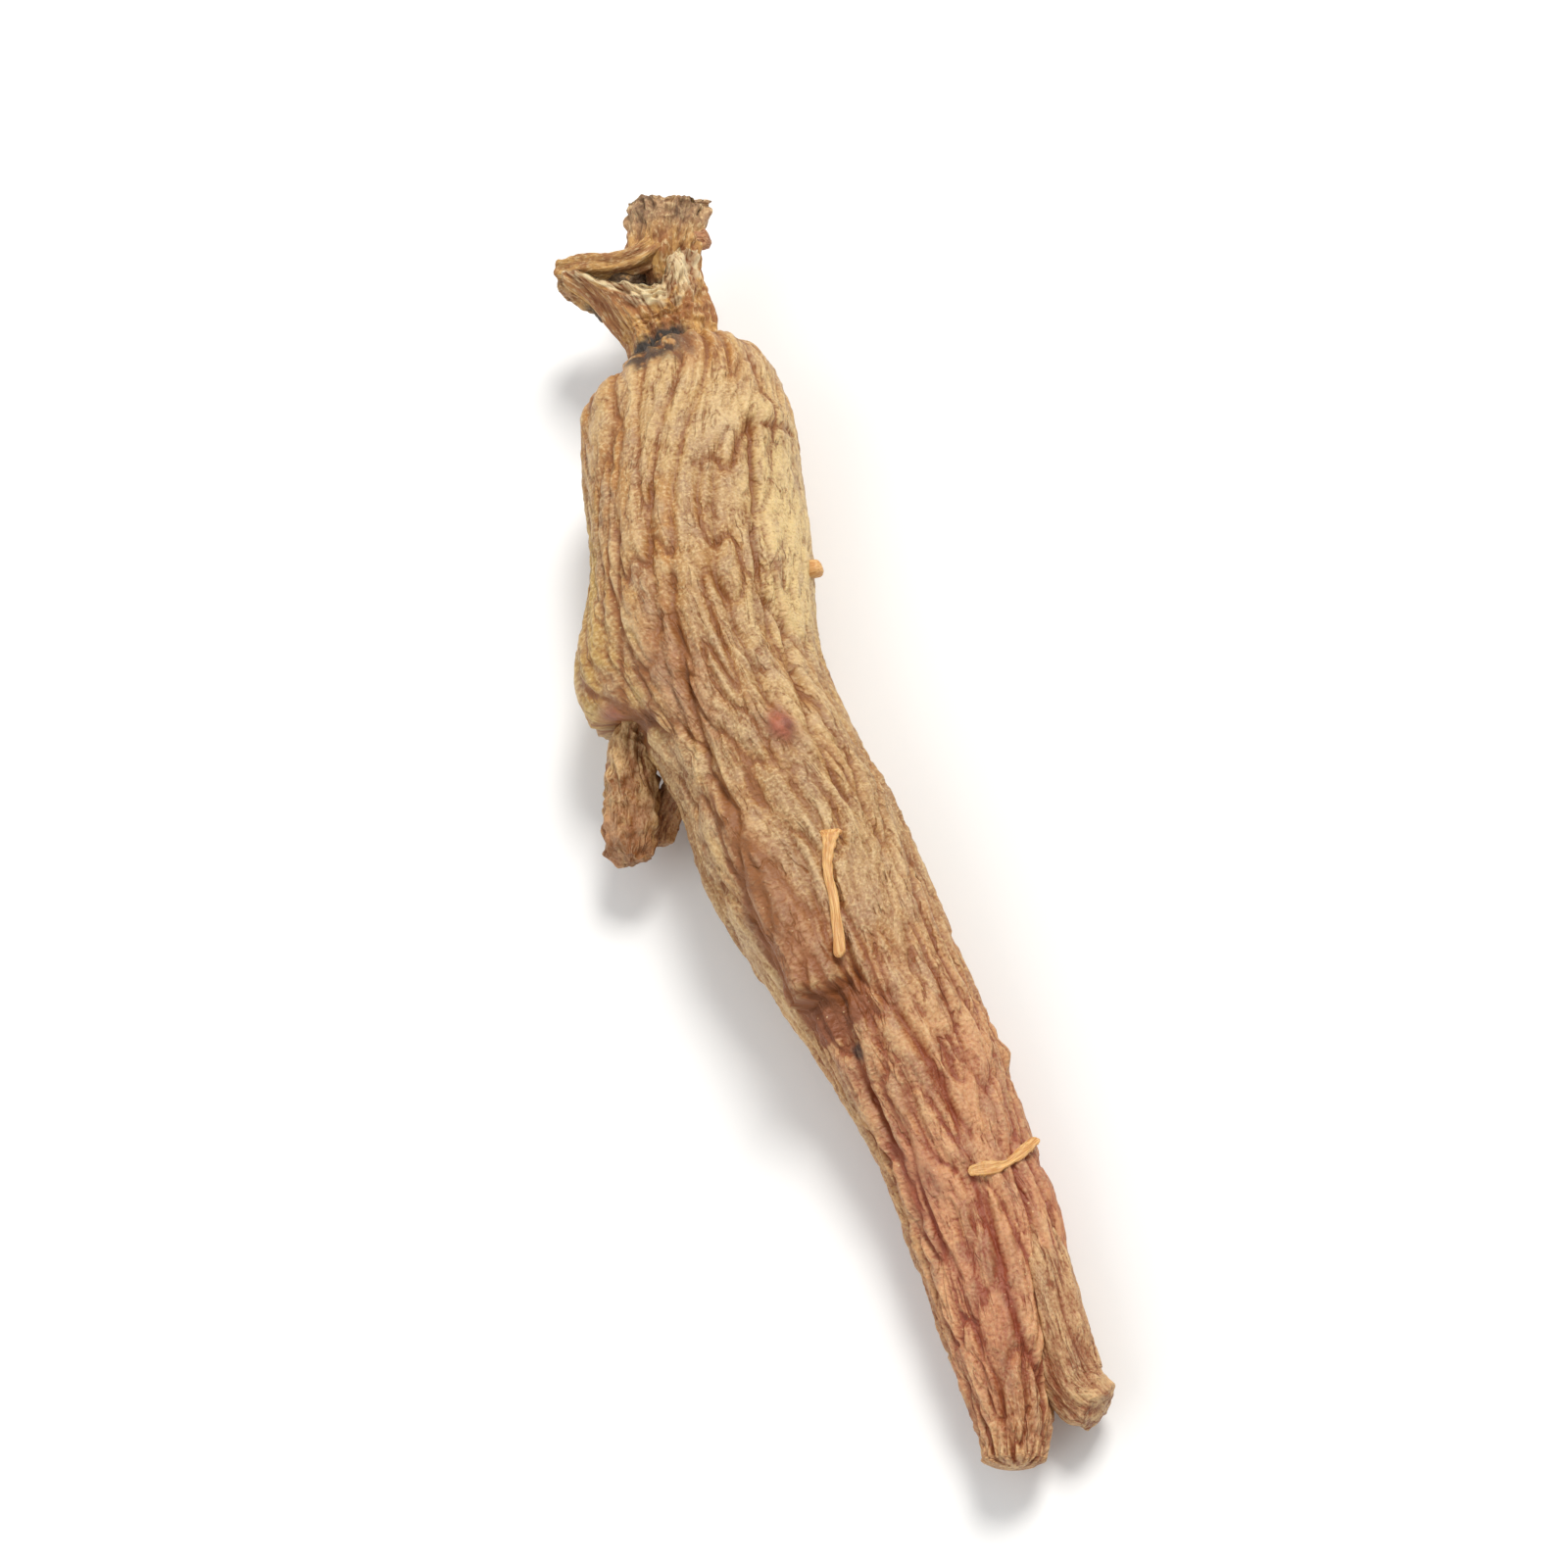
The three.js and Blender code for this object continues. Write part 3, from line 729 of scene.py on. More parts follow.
def dried_skin():
    """Tan ridges and red-brown furrows at the shoulders, all turning redder and duller towards the tail."""
    recipe = Recipe("dried_skin", roughness=0.6, subsurface=0.12)
    furrow, tail, gold, amber = (recipe.mark(name) for name in ("furrow", "tail", "gold", "amber"))
    cream, pink, dark, crest = (recipe.mark(name) for name in ("cream", "pink", "dark", "crest"))
    patches = recipe.between(recipe.mottle(5, 14), 0.42, 0.6)
    clouds = recipe.mottle(1.6, 3.0, offset=4.0, detail=5.0)
    grain = recipe.mottle(0.22, 0.24, offset=1.0, detail=4.0)
    broken_up = recipe.between(recipe.mottle(1.5, 2.5, offset=7.0), 0.42, 0.58)
    long_lines = recipe.product(recipe.lines(0.9, 3.0, width=0.07, offset=2.0), broken_up)
    pebbles = recipe.pebbles(0.85, 0.6, offset=3.0)

    ridge = recipe.blend(patches, TAN, DULL_TAN)
    # Painted glow at the thin left edge, as of light seeping through it
    ridge = recipe.blend(gold, ridge, EDGE_GLOW_GOLD)
    ridge = recipe.blend(amber, ridge, AMBER)
    # Cream: pale torn rims and cut ends, and a painted highlight on the right shoulder
    ridge = recipe.blend(cream, ridge, SKIN_CREAM)
    ridge = recipe.blend(tail, ridge, recipe.blend(patches, ROSE_TAN, DULL_ROSE))
    cloudy = recipe.product(recipe.between(clouds, 0.46, 0.66), 0.7)
    ridge = recipe.blend(cloudy, ridge, recipe.blend(tail, MAUVE, RED_MAUVE))
    # Painted highlight on the crests, weaker towards the tail
    highlight_share = recipe.product(crest, recipe.total((tail, -0.3), (0.5, 1.0)))
    ridge = recipe.blend(highlight_share, ridge, CREST_HIGHLIGHT)
    # Painted glints on the fine grain, fewer towards the tail
    glinting_grain = recipe.product(recipe.between(grain, 0.5, 0.64), recipe.total((tail, -0.25), (0.5, 1.0)))
    ridge = recipe.blend(glinting_grain, ridge, GRAIN_GLINT)
    ridge = recipe.blend(pink, ridge, recipe.blend(recipe.between(clouds, 0.4, 0.6), SCAR_RED, DARK_SCAR))

    valley = recipe.blend(tail, FURROW_BROWN, FURROW_RED)
    low_grain = recipe.between(grain, 0.48, 0.36)
    borders = recipe.math("SUBTRACT", 1.0, pebbles)
    shade = recipe.total((furrow, 1.0), (long_lines, 0.4), (low_grain, 0.3), (borders, 0.1))
    colour = recipe.blend(recipe.between(shade, 0.05, 1.0), ridge, valley)
    # Nearly black where the dark marking is: the neck ring and a dark spot, and painted shade under the
    # rootlet and on the lobe's step
    darkened = recipe.between(recipe.mottle(0.7, 0.7, offset=6.0, detail=5.0), 0.3, 0.5)
    colour = recipe.blend(recipe.product(dark, darkened), colour, SKIN_DARK_AND_SHADE)
    # Pale specks in patches, which stand for both dust and glints
    speckled = recipe.between(recipe.mottle(3, 3, offset=9.0), 0.48, 0.6)
    specks_and_glints = recipe.product(recipe.specks(0.6, radius=0.12), speckled)
    colour = recipe.blend(recipe.product(specks_and_glints, 0.5), colour, DUST_AND_GLINT)

    height = recipe.total((pebbles, 0.25), (grain, 0.6), (long_lines, -0.5), (clouds, 0.4))
    rough = recipe.total((grain, 0.4), (0.34, 1.0))
    return recipe.finish(colour, height, depth=0.16, roughness=rough)


SKIN = dried_skin()

# %% [markdown]
# ## The bark's material
# The rhizome is drier and woodier than the root below it. Its bark is golden, with long fibres, and greyer
# where it is torn and weathered. So it has a material of its own, with streaks along the fibres in place
# of cells.

# %% The bark's paints, and the material
GOLDEN_BARK, RED_BARK = paint(204, 156, 86), paint(160, 104, 54)
PALE_WEATHERED, DULL_WEATHERED = paint(186, 148, 106), paint(158, 118, 82)
TORN_CREAM, BARK_GRAIN = paint(234, 216, 172), paint(232, 204, 152)
BARK_FURROW, WEATHERED_FURROW = paint(134, 78, 36), paint(104, 76, 52)
# Nearly black, for the dark ring and for painted shade in the cup's mouth
BARK_DARK_AND_SHADE = paint(52, 42, 33)


def rhizome_bark():
    """Golden tan with long fibres, grey-brown where it is weathered, and nearly black at the dark ring and
    where shade is painted in the cup's mouth.
    """
    recipe = Recipe("rhizome_bark", roughness=0.65, subsurface=0.08)
    furrow, weathered = recipe.mark("furrow"), recipe.mark("weathered")
    dark, cream = recipe.mark("dark"), recipe.mark("cream")
    patches = recipe.between(recipe.mottle(1.4, 2.2, detail=4.0), 0.4, 0.62)
    tints = recipe.between(recipe.mottle(1.0, 1.2, offset=3.0, detail=4.0), 0.4, 0.6)
    fibres = recipe.mottle(0.22, 1.8, offset=1.0, detail=4.0, wander=0.3)
    grain = recipe.mottle(0.3, 0.4, offset=5.0, detail=4.0)

    ridge = recipe.blend(patches, GOLDEN_BARK, RED_BARK)
    ridge = recipe.blend(weathered, ridge, recipe.blend(tints, PALE_WEATHERED, DULL_WEATHERED))
    ridge = recipe.blend(cream, ridge, TORN_CREAM)
    ridge = recipe.blend(recipe.product(recipe.between(grain, 0.52, 0.66), 0.6), ridge, BARK_GRAIN)
    valley = recipe.blend(weathered, BARK_FURROW, WEATHERED_FURROW)
    low_fibres, low_grain = recipe.between(fibres, 0.46, 0.34), recipe.between(grain, 0.48, 0.3)
    shade = recipe.total((furrow, 0.8), (low_fibres, 0.28), (low_grain, 0.35))
    colour = recipe.blend(recipe.between(shade, 0.05, 1.0), ridge, valley)
    # Nearly black where the dark marking is: the ring at the cup's foot, and painted shade in the cup's
    # mouth
    darkened = recipe.between(recipe.mottle(0.7, 0.7, offset=6.0, detail=5.0), 0.22, 0.45)
    colour = recipe.blend(recipe.product(dark, darkened), colour, BARK_DARK_AND_SHADE)
    return recipe.finish(colour, recipe.total((fibres, 0.8), (grain, 1.0)), depth=0.2, roughness=0.62)


BARK = rhizome_bark()

# %% [markdown]
# ## The torn fibres' material
# Where the skin was scraped, straw-coloured fibres show. They are thin enough to let light through, so
# more of it seeps in than in the skin.

# %% The fibres' paints, and the material
DARK_STRAW, PALE_STRAW = paint(190, 132, 72), paint(224, 180, 118)


def torn_fibre():
    """Pale straw, a little see-through, with thin lengthwise streaks."""
    recipe = Recipe("torn_fibre", roughness=0.5, subsurface=0.3)
    streaks = recipe.mottle(0.3, 2.0)
    colour = recipe.blend(recipe.between(streaks, 0.35, 0.65), DARK_STRAW, PALE_STRAW)
    return recipe.finish(colour, streaks, depth=0.05, roughness=0.5)


FIBRE = torn_fibre()

# %% [markdown]
# ## The body
# One skin runs from the neck to the end of the left toe. Its sections are the solid's own: the middle of
# each ring, the height of its underside, and how wide and thick it is. It thins from the waist down, and
# it lies flat on its belly where the weight of the wet root pressed it.

# %% The body's sections and grid
BELLY_SINK = 0.4
# A section has x and y of its middle, z of its underside, its half width and its half height, in mm
BODY = [
    (1.9, 34.3, 4.6, 3.0, 2.1),
    (1.6, 32.0, 2.7, 5.3, 3.3),
    (2.0, 28.5, 0.7, 7.9, 6.8),
    (1.2, 23.6, -0.2, 8.8, 8.0),
    (0.2, 17.5, -BELLY_SINK, 8.7, 8.2),
    (-0.7, 12.0, -BELLY_SINK, 8.6, 8.2),
    (-1.3, 6.5, -BELLY_SINK, 8.3, 8.1),
    (-1.1, 1.5, -BELLY_SINK, 7.6, 7.9),
    (0.0, -4.5, -BELLY_SINK, 7.3, 7.5),
    (0.7, -11.3, -BELLY_SINK, 7.8, 7.1),
    (1.9, -18.7, -0.3, 7.2, 6.5),
    (3.4, -26.5, -0.2, 6.3, 5.7),
    (4.2, -32.4, -0.2, 5.8, 5.1),
    (4.7, -38.5, -0.1, 5.4, 4.6),
    (4.9, -43.9, 0.2, 5.2, 4.1),
    (4.2, -48.8, 0.5, 4.5, 3.6),
    (3.3, -52.5, 0.8, 3.3, 3.1),
    (2.8, -55.3, 1.0, 2.7, 2.7),
    (2.2, -57.4, 1.2, 2.3, 2.3),
]
BODY_AROUND, BODY_ROWS, BODY_CAP_ROWS = 288, 340, 12
body_sections = [(x, y, underside + thick, wide, thick) for x, y, underside, wide, thick in BODY]
body = ring_grid(body_sections, BODY_AROUND, BODY_ROWS, BODY_CAP_ROWS, furrow_turn)
print("the body's path is", body.length.max().round(1), "mm long")


# %% Unevenness and soft marks on the body
def body_noise(across, along, offset):
    """Noise on the body's skin, with spots about across mm wide and along mm long."""
    return stretched_noise(body, across, along, offset)


def now_and_then(level, swing, across, along, offset, least=0.0):
    """A strength that comes and goes over the body: level + swing * noise, held between the least and 1."""
    return np.clip(level + swing * body_noise(across, along, offset), least, 1)


def patch(middle_y, middle_turn, reach_along, reach_round, soften=1.6):
    """A soft oval with a ragged edge: (1 - distance / reach) * soften, held between 0 and 1."""
    ragged = 1 + 0.6 * body_noise(1.2, 1.8, middle_y)
    round_it = turn_between(middle_turn * DEGREE, body.angle) * body.radius
    far = np.hypot((body.y - middle_y) / reach_along, round_it / reach_round)
    return np.clip((1 - far * ragged) * soften, 0, 1)


drift = 0.5 * body_noise(5.0, 7.0, 7.7) + 0.3 * body_noise(2.0, 2.6, 2.9)
lumps = body_noise(0.9, 1.1, 6.6)
swell = body_noise(6.0, 9.0, 1.2)
print("the furrows stray by up to", np.abs(drift).max().round(2), "mm")

# %% The long furrows and the creases, straying a little
FURROW_DRIFT, CREASE_DRIFT = 1.8, 1.1
FURROW_SHARE, CREASE_SHARE = 0.5, 0.75
# Two stretches of calmer skin, each with the y and angle of its middle and its reach along and round
SMOOTH_STRIP = (14, 14, 17, 4.5)
SMOOTH_LEFT = (6, 150, 9, 7)

furrow = furrow_depth(body.before + FURROW_DRIFT * drift / body.radius, body.y, body.radius)
crease = crease_depth(body.angle + CREASE_DRIFT * drift / body.radius, body.y, body.radius)
here_and_there = now_and_then(0.6, 1.1, 3.5, 6.0, 4.4)
rootlet = rootlet_height(body.angle, body.y, body.radius, 0.9 * body_noise(0.8, 0.8, 8.8))
on_rootlet = np.clip(rootlet, 0, 1)
calm = 1 - 0.75 * patch(*SMOOTH_STRIP)
thin_part = soft_step(-body.y, 25, 40)
furrow_mm = calm * FURROW_SHARE * furrow**1.5 * here_and_there * (1 - 0.7 * np.minimum(rootlet, 1))
crease_mm = CREASE_SHARE * (1 - 0.6 * patch(*SMOOTH_LEFT)) * crease**1.2
valley_mm = (1 - 0.35 * thin_part) * np.maximum(furrow_mm, crease_mm)
print("the deepest furrow or crease is", valley_mm.max().round(2), "mm deep")

# %% Second and third furrows, puckers and the crack across the shoulder
SECOND_DEPTH, SECOND_HALF_WIDTH = 0.38, 0.9
THIRD_DEPTH, THIRD_HALF_WIDTH = 0.2, 0.6
PUCKER_DEPTH, LUMP_HEIGHT, SWELL_HEIGHT = 0.07, 0.13, 0.4
SHOULDER_CRACK = [(21.3, 46), (22.0, 30), (22.8, 8)]
CRACK_DEPTH, CRACK_HALF_WIDTH = 0.25, 0.35

second = distance_to_line(body_noise(1.9, 9.0, 3.1), body)
third = distance_to_line(body_noise(1.0, 3.0, 9.4), body)
puckers = valleys(body_noise(2.0, 1.0, 5.3), 0.3, 2)
second_mm = SECOND_DEPTH * np.maximum(0, 1 - second / SECOND_HALF_WIDTH) ** 2
third_mm = THIRD_DEPTH * np.maximum(0, 1 - third / THIRD_HALF_WIDTH) ** 2
off_crack = distance_to_course(SHOULDER_CRACK, body.angle, body.y + 0.5 * lumps, body.radius)
crack = np.maximum(0, 1 - off_crack / CRACK_HALF_WIDTH)
fine_mm = calm * (second_mm + third_mm) + CRACK_DEPTH * crack + PUCKER_DEPTH * puckers
fine_mm = fine_mm - LUMP_HEIGHT * lumps - SWELL_HEIGHT * swell
print("fine furrows cover", f"{np.mean(second_mm + third_mm > 0.05):.0%} of the body")

# %% The body's skin
bumps = sum(top * spot(body.angle, body.y, body.radius, *place) for top, *place in BUMPS)
lobe = lobe_height(body.angle, body.y)
body_relief = belly_share(body.angle) * (bumps + rootlet - valley_mm - fine_mm) + lobe
body_places = skin_places(body, body_relief, dome(0.5), dome(0.9))
print("relief on the body from", body_relief.min().round(2), "to", body_relief.max().round(2), "mm")

# %% [markdown]
# ## The body's markings
# The colour changes where the shape does: furrows are darker, and a nearly black ring lies at the neck.
# Painted shadow darkens and reddens the skin below the torn rootlet, and painted shade darkens the
# rootlet's steep edge and the lobe's step. Painted highlights lie on the crests and the right shoulder, and
# a painted glow on the thin left edge. The marks could be painted on, but here each is a number from 0 to
# 1 at every point, worked out from the same distances as the relief, so colour and shape can't slip apart.

# %% The dark ring at the neck
RING_Y, RING_RISE = 27.3, 4.6
RING_MIDDLE = 135 * DEGREE

ring_start = RING_Y + RING_RISE * soft_step(-np.cos(body.angle), 0.2, 0.85)
ring_here = 0.9 * soft_step(np.cos(body.angle - RING_MIDDLE), 0.35, 0.65)
neck_ring = soft_step(body.y + 1.6 * lumps + 1.2 * drift, ring_start, ring_start + 1.2) * ring_here
print("the ring covers", np.sum(neck_ring > 0.5), "points")

# %% Painted shade along the pressed rootlet's edge, its torn rim, and painted shadow below it
EDGE_PLACE, EDGE_WIDTH = 1.08, 0.16

rootlet_place = rootlet_height(body.angle, body.y, body.radius, -3.0)
# Painted shadow below the rootlet's torn end, darker and redder, where its ridge would have run on
shadow_under_rootlet = np.clip(2 * (rootlet_place - rootlet), 0, 1) * soft_step(-body.y, 23.0, 24.0)
rootlet_rim = on_rootlet * soft_step(-body.y, 22.6, 23.4)
across = across_rootlet(body.angle, body.y, body.radius) + 0.25 * lumps
beside_it = soft_step(-body.y, 5, 9) * soft_step(body.y, -25.5, -23.5)
# Painted shade in a narrow band along the rootlet's steep left side
rootlet_edge_shade = np.exp(-(((across - EDGE_PLACE) / EDGE_WIDTH) ** 2)) * beside_it
print("the torn rim covers", np.sum(rootlet_rim > 0.5), "points")

# %% The lobe's step, darkened by painted shade
# Painted shade on the face of the step below the lobe
full_lobe = lobe_height(body.angle, LOBE_FULL + 0 * body.y)
lobe_step_shade = np.clip(1 - lobe / (0.75 * full_lobe + 0.01), 0, 1)
lobe_step_shade = lobe_step_shade * soft_step(body.y, 0.2, 1.0) * (1 - soft_step(body.y, 4.0, 4.4))
lobe_step_shade = lobe_step_shade * soft_step(-np.cos(body.angle), 0.6, 0.8)
print("the lobe's step covers", np.sum(lobe_step_shade > 0.5), "points")

# %% Thin lines in the furrows, honey colour beside them and a painted highlight on the crests between them
SECOND_LINE_WIDTH, THIRD_LINE_WIDTH = 0.3, 0.22

lines_mm = np.maximum(0.85 * crease**3, 0.8 * calm * here_and_there * furrow**4)
strong_here = now_and_then(0.7, 0.9, 2.5, 6.0, 6.1, least=0.3)
second_line = strong_here * calm * np.maximum(0, 1 - second / SECOND_LINE_WIDTH)
third_line = now_and_then(0.5, 1.5, 2.0, 3.0, 2.4) * calm * np.maximum(0, 1 - third / THIRD_LINE_WIDTH)
halo = strong_here * np.maximum(0, 1 - second / SECOND_HALF_WIDTH) + 0.8 * crease**2
# A painted highlight on the crests between the fine furrows, stronger here and there
crest = soft_step(np.minimum(second, 1.6 * third), 0.4, 1.0) * now_and_then(0.55, 1.5, 3.0, 5.0, 5.9)
print("crests cover", f"{np.mean(crest > 0.5):.0%} of the body")

# %% Patches of colour
# A patch has the y in mm and the angle in degrees of its middle, and its reach along and round in mm
# A red patch has its strength before these
RED_PATCHES = [
    (1.0, -5.4, 71, 2.1, 1.6),
    (0.9, 2.6, 164, 1.6, 2.4),
    (0.4, 2, 112, 7, 3),
    (0.6, -19, 137, 5.5, 1.5),
    (0.3, 29, 75, 3, 1.2),
    (0.5, -38, 118, 6, 2.5),
    (0.35, -47, 80, 5, 2),
]
AMBER_PATCHES = [(30.5, 118, 3.5, 8), (25, 150, 9, 3), (20, 118, 10, 2), (12, 96, 9, 1.6), (29, 62, 3, 5)]

reds = sum(weight * patch(*place) for weight, *place in RED_PATCHES)
ambers = sum(patch(*place) for place in AMBER_PATCHES)
# A painted glow where light seeps through the thin left edge
left_edge_glow = np.maximum(patch(14, 168, 16, 4), 0.9 * patch(7, 176, 9, 7))
# A painted highlight along the right shoulder, and a fainter one on its top
shoulder_highlight = np.maximum(0.9 * patch(13, 18, 17, 6.5), 0.25 * patch(22, 80, 8, 5))
toe_end_cream = 0.8 * soft_step(body.share + 0.02 * lumps, 0.955, 0.99)
tail_cream = toe_end_cream + 0.8 * patch(-48, 152, 4.2, 0.6, 3) + 0.6 * patch(-54, 120, 2.5, 0.6, 3)
tail_red = soft_step(-body.y + 8 * swell, 12, 44) * (1 - 0.6 * patch(-38, 168, 18, 3))
pit_stain = 0.8 * patch(-28.3, 125, 0.8, 0.7, 4)
print(len(RED_PATCHES), "red patches and", len(AMBER_PATCHES), "amber ones")

# %% All the body's markings, and its mesh
# The furrow marking also carries painted shade under the rootlet, along its edge and on the lobe's step, and
# the pink marking carries painted shadow under the rootlet and painted shade along its edge
furrow_and_shade_mark = lines_mm + 0.9 * second_line + 0.5 * third_line + 0.08 * puckers
furrow_and_shade_mark = furrow_and_shade_mark + 0.9 * rootlet_edge_shade + 0.35 * on_rootlet + shadow_under_rootlet + lobe_step_shade + 0.8 * crack
pink_and_shadow_mark = reds + 0.4 * on_rootlet * (1 - rootlet_rim) + 0.7 * rootlet_edge_shade + 0.7 * shadow_under_rootlet
pink_and_shadow_mark = pink_and_shadow_mark + 0.5 * thin_part * crease**2
body_marks = {
    "furrow": np.clip(furrow_and_shade_mark, 0, 1),
    "tail": tail_red * (1 - 0.4 * soft_step(-body.y, 49, 56)),
    "gold": left_edge_glow,
    "cream": np.maximum(shoulder_highlight, np.maximum(0.7 * rootlet_rim, tail_cream)),
    "pink": np.clip(pink_and_shadow_mark, 0, 1),
    "amber": np.clip(0.7 * ambers + 0.85 * halo, 0, 1),
    "crest": crest,
    # dark: the neck ring and a dark spot, and painted shade under the rootlet and on the lobe's step
    "dark": np.clip(neck_ring + pit_stain + 0.15 * shadow_under_rootlet + 0.35 * lobe_step_shade, 0, 1),
}
skin_piece("body_skin", body, body_places, body_marks, SKIN)

# %% [markdown]
# ## The small forms on the body
# The right toe, two broken side rootlets, two thin fibres and a nub all grow out of the body. Each is a
# skin along its own short path, with its root sunk in the body. One function makes them all, since they
# differ only in path, thickness, ribs and how their ends broke.

# %% One function for every small form
STRAND_DEPTH, PIT_DEPTH = 0.16, 0.08
TORN_FROM, SLANT_START = 0.6, 0.1
COARSE_TEAR, FINE_TEAR = 1.6, 0.55


def growth(name, sections, around, rows, start, end, fibres, lift, material, marks=None, ragged=0.0,
           slant=None, lumpy=0.0):
    """A skin with soft ridges round it, lift * sin(fibres * angle + 0.9 * sin(y / radius)).

    Fine strands and pits are scaled to its thickness, and lumps have the height that is asked for. The
    noise is read at a place set by the length of the piece's name. The far end is torn by noise, and the
    slant says how far it reaches beyond or short of the last section.
    """
    grid = ring_grid(sections, around, rows, cap_rows=max(3, rows // 8))
    ribs = np.sin(fibres * grid.angle + 0.9 * np.sin(grid.y / grid.radius))
    size = np.minimum(grid.radius / 3, 1)
    strands = valleys(stretched_noise(grid, 0.9, 4.5, len(name)), 0.22)
    pits = valleys(stretched_noise(grid, 1.4, 1.1, 3.3 * len(name)), 0.2)
    relief = lift * ribs - size * (STRAND_DEPTH * strands + PIT_DEPTH * pits)
    lump_height = lumpy(grid) if callable(lumpy) else lumpy
    relief = relief + lump_height * np.maximum(0, 0.25 + stretched_noise(grid, 0.9, 0.9, 2.2))
    places = skin_places(grid, relief, start, end)

    x, z = (wave(grid.angle) * grid.radius * np.cos(grid.end) for wave in (np.cos, np.sin))
    broad, narrow = (noise(x / tear, z / tear, 5.5) for tear in (COARSE_TEAR, FINE_TEAR))
    further = ragged * (broad + 0.5 * narrow) * soft_step(grid.share, TORN_FROM, 1)
    if slant:
        further = further + slant(grid.angle) * soft_step(grid.share, SLANT_START, 1) * np.cos(grid.end)
    places = places + further[..., None] * grid.onward
    places[..., 2] = np.maximum(places[..., 2], 0)

    marks = {key: value(grid) if callable(value) else value for key, value in (marks or {}).items()}
    rib_shade = 0.2 * (1 - ribs) * min(1, 5 * lift)
    marks["furrow"] = np.clip(rib_shade + (0.2 + 0.3 * size) * (strands + 0.3 * pits), 0, 1)
    skin_piece(name, grid, places, marks, material)


# %% The right toe
# From here on, a section's z is that of its middle
RIGHT_TOE = [
    (7.2, -42.0, 4.4, 1.9, 2.6),
    (7.6, -46.0, 4.2, 2.1, 3.0),
    (7.6, -50.0, 4.0, 2.1, 2.8),
    (7.4, -52.4, 3.8, 2.1, 2.5),
    (7.4, -54.0, 3.6, 2.1, 2.2),
    (7.8, -55.1, 3.5, 2.0, 2.1),
    (8.4, -56.0, 3.5, 1.8, 1.9),
]


def toe_cream(grid):
    """Paler towards the broken end, by a soft step of the share of the way with noise added to it."""
    return 0.35 + 0.75 * soft_step(grid.share + 0.3 * stretched_noise(grid, 1.0, 1.6, 3.0), 0.7, 0.95)


# The toe's crests carry a painted highlight of 0.5
growth("right_toe", RIGHT_TOE, 120, 110, dome(1), dome(0.4), fibres=5, lift=0.15, material=SKIN,
       marks={"tail": 0.5, "crest": 0.5, "cream": toe_cream}, ragged=0.6)

# %% The side rootlets and the nub
SIDE_STUB = [
    (-6.4, 2.6, 7.3, 1.5, 1.8),
    (-8.8, 2.0, 6.9, 1.5, 1.8),
    (-10.0, -0.3, 6.4, 1.8, 1.9),
    (-10.6, -2.3, 5.8, 2.0, 1.9),
    (-11.3, -4.3, 5.2, 2.1, 1.9),
    (-12.1, -6.1, 4.6, 1.7, 1.6),
]
SMALL_STUB = [(-6.5, -1.5, 4.6, 1.3, 1.3), (-8.6, -3.6, 3.8, 1.1, 1.1), (-9.7, -5.2, 3.3, 0.9, 0.9)]
NUB = [(6.4, 10.0, 8.0, 0.9, 0.9), (8.1, 9.7, 8.1, 0.7, 0.7)]


def stub_blush(grid):
    """Redder towards the broken end, by a soft step of the share of the way with noise added to it."""
    return 0.5 * soft_step(grid.share + stretched_noise(grid, 1.3, 2.2, 8.1), 0.5, 1)


# Painted highlight on the crests: 0.6 on the side rootlet and 0.3 on the small one
growth("side_rootlet", SIDE_STUB, 100, 110, dome(0.5), dome(0.7), fibres=4, lift=0.15, material=SKIN,
       marks={"crest": 0.6, "cream": 0.2, "amber": 0.9, "pink": stub_blush}, ragged=1.2, lumpy=0.7)
growth("small_rootlet", SMALL_STUB, 60, 50, dome(0.5), dome(0.4), fibres=4, lift=0.08, material=SKIN,
       marks={"tail": 0.5, "amber": 0.5, "crest": 0.3}, ragged=0.8, lumpy=0.4)
growth("nub", NUB, 40, 30, dome(0.3), dome(0.4), fibres=3, lift=0.05, material=FIBRE, ragged=0.2)

# %% Two thin fibres, one along the front and one across the tail
PALE_FIBRE = [
    (3.5, -14.2, 12.6, 0.9, 0.4),
    (3.3, -14.9, 12.8, 0.5, 0.4),
    (2.6, -16.9, 12.75, 0.33, 0.36),
    (2.3, -19.6, 12.5, 0.33, 0.36),
    (1.7, -22.8, 12.2, 0.42, 0.3),
]
TORN_FIBRE = [
    (5.6, -39.7, 8.7, 0.35, 0.22),
    (6.7, -39.8, 8.4, 0.5, 0.22),
    (7.9, -39.7, 7.8, 0.25, 0.22),
    (9.2, -38.9, 6.8, 0.4, 0.3),
    (10.0, -38.3, 6.2, 0.3, 0.16),
]
growth("pale_fibre", PALE_FIBRE, 30, 70, dome(0.3), dome(0.4), fibres=3, lift=0.07, material=FIBRE,
       ragged=0.4)
growth("torn_fibre", TORN_FIBRE, 30, 60, dome(0.3), dome(0.4), fibres=3, lift=0.08, material=FIBRE,
       ragged=0.4)

# %% [markdown]
# ## The rhizome
# The rhizome is the short underground stem at the top of the root. Last year's stem broke off it and left
# a cup with a torn rim. A strap of bark curls across the cup's mouth into the stump of the next stem, a
# prong points to the left, and a small knob sits on the right. The same function makes them, with the
# cup's end a pit.

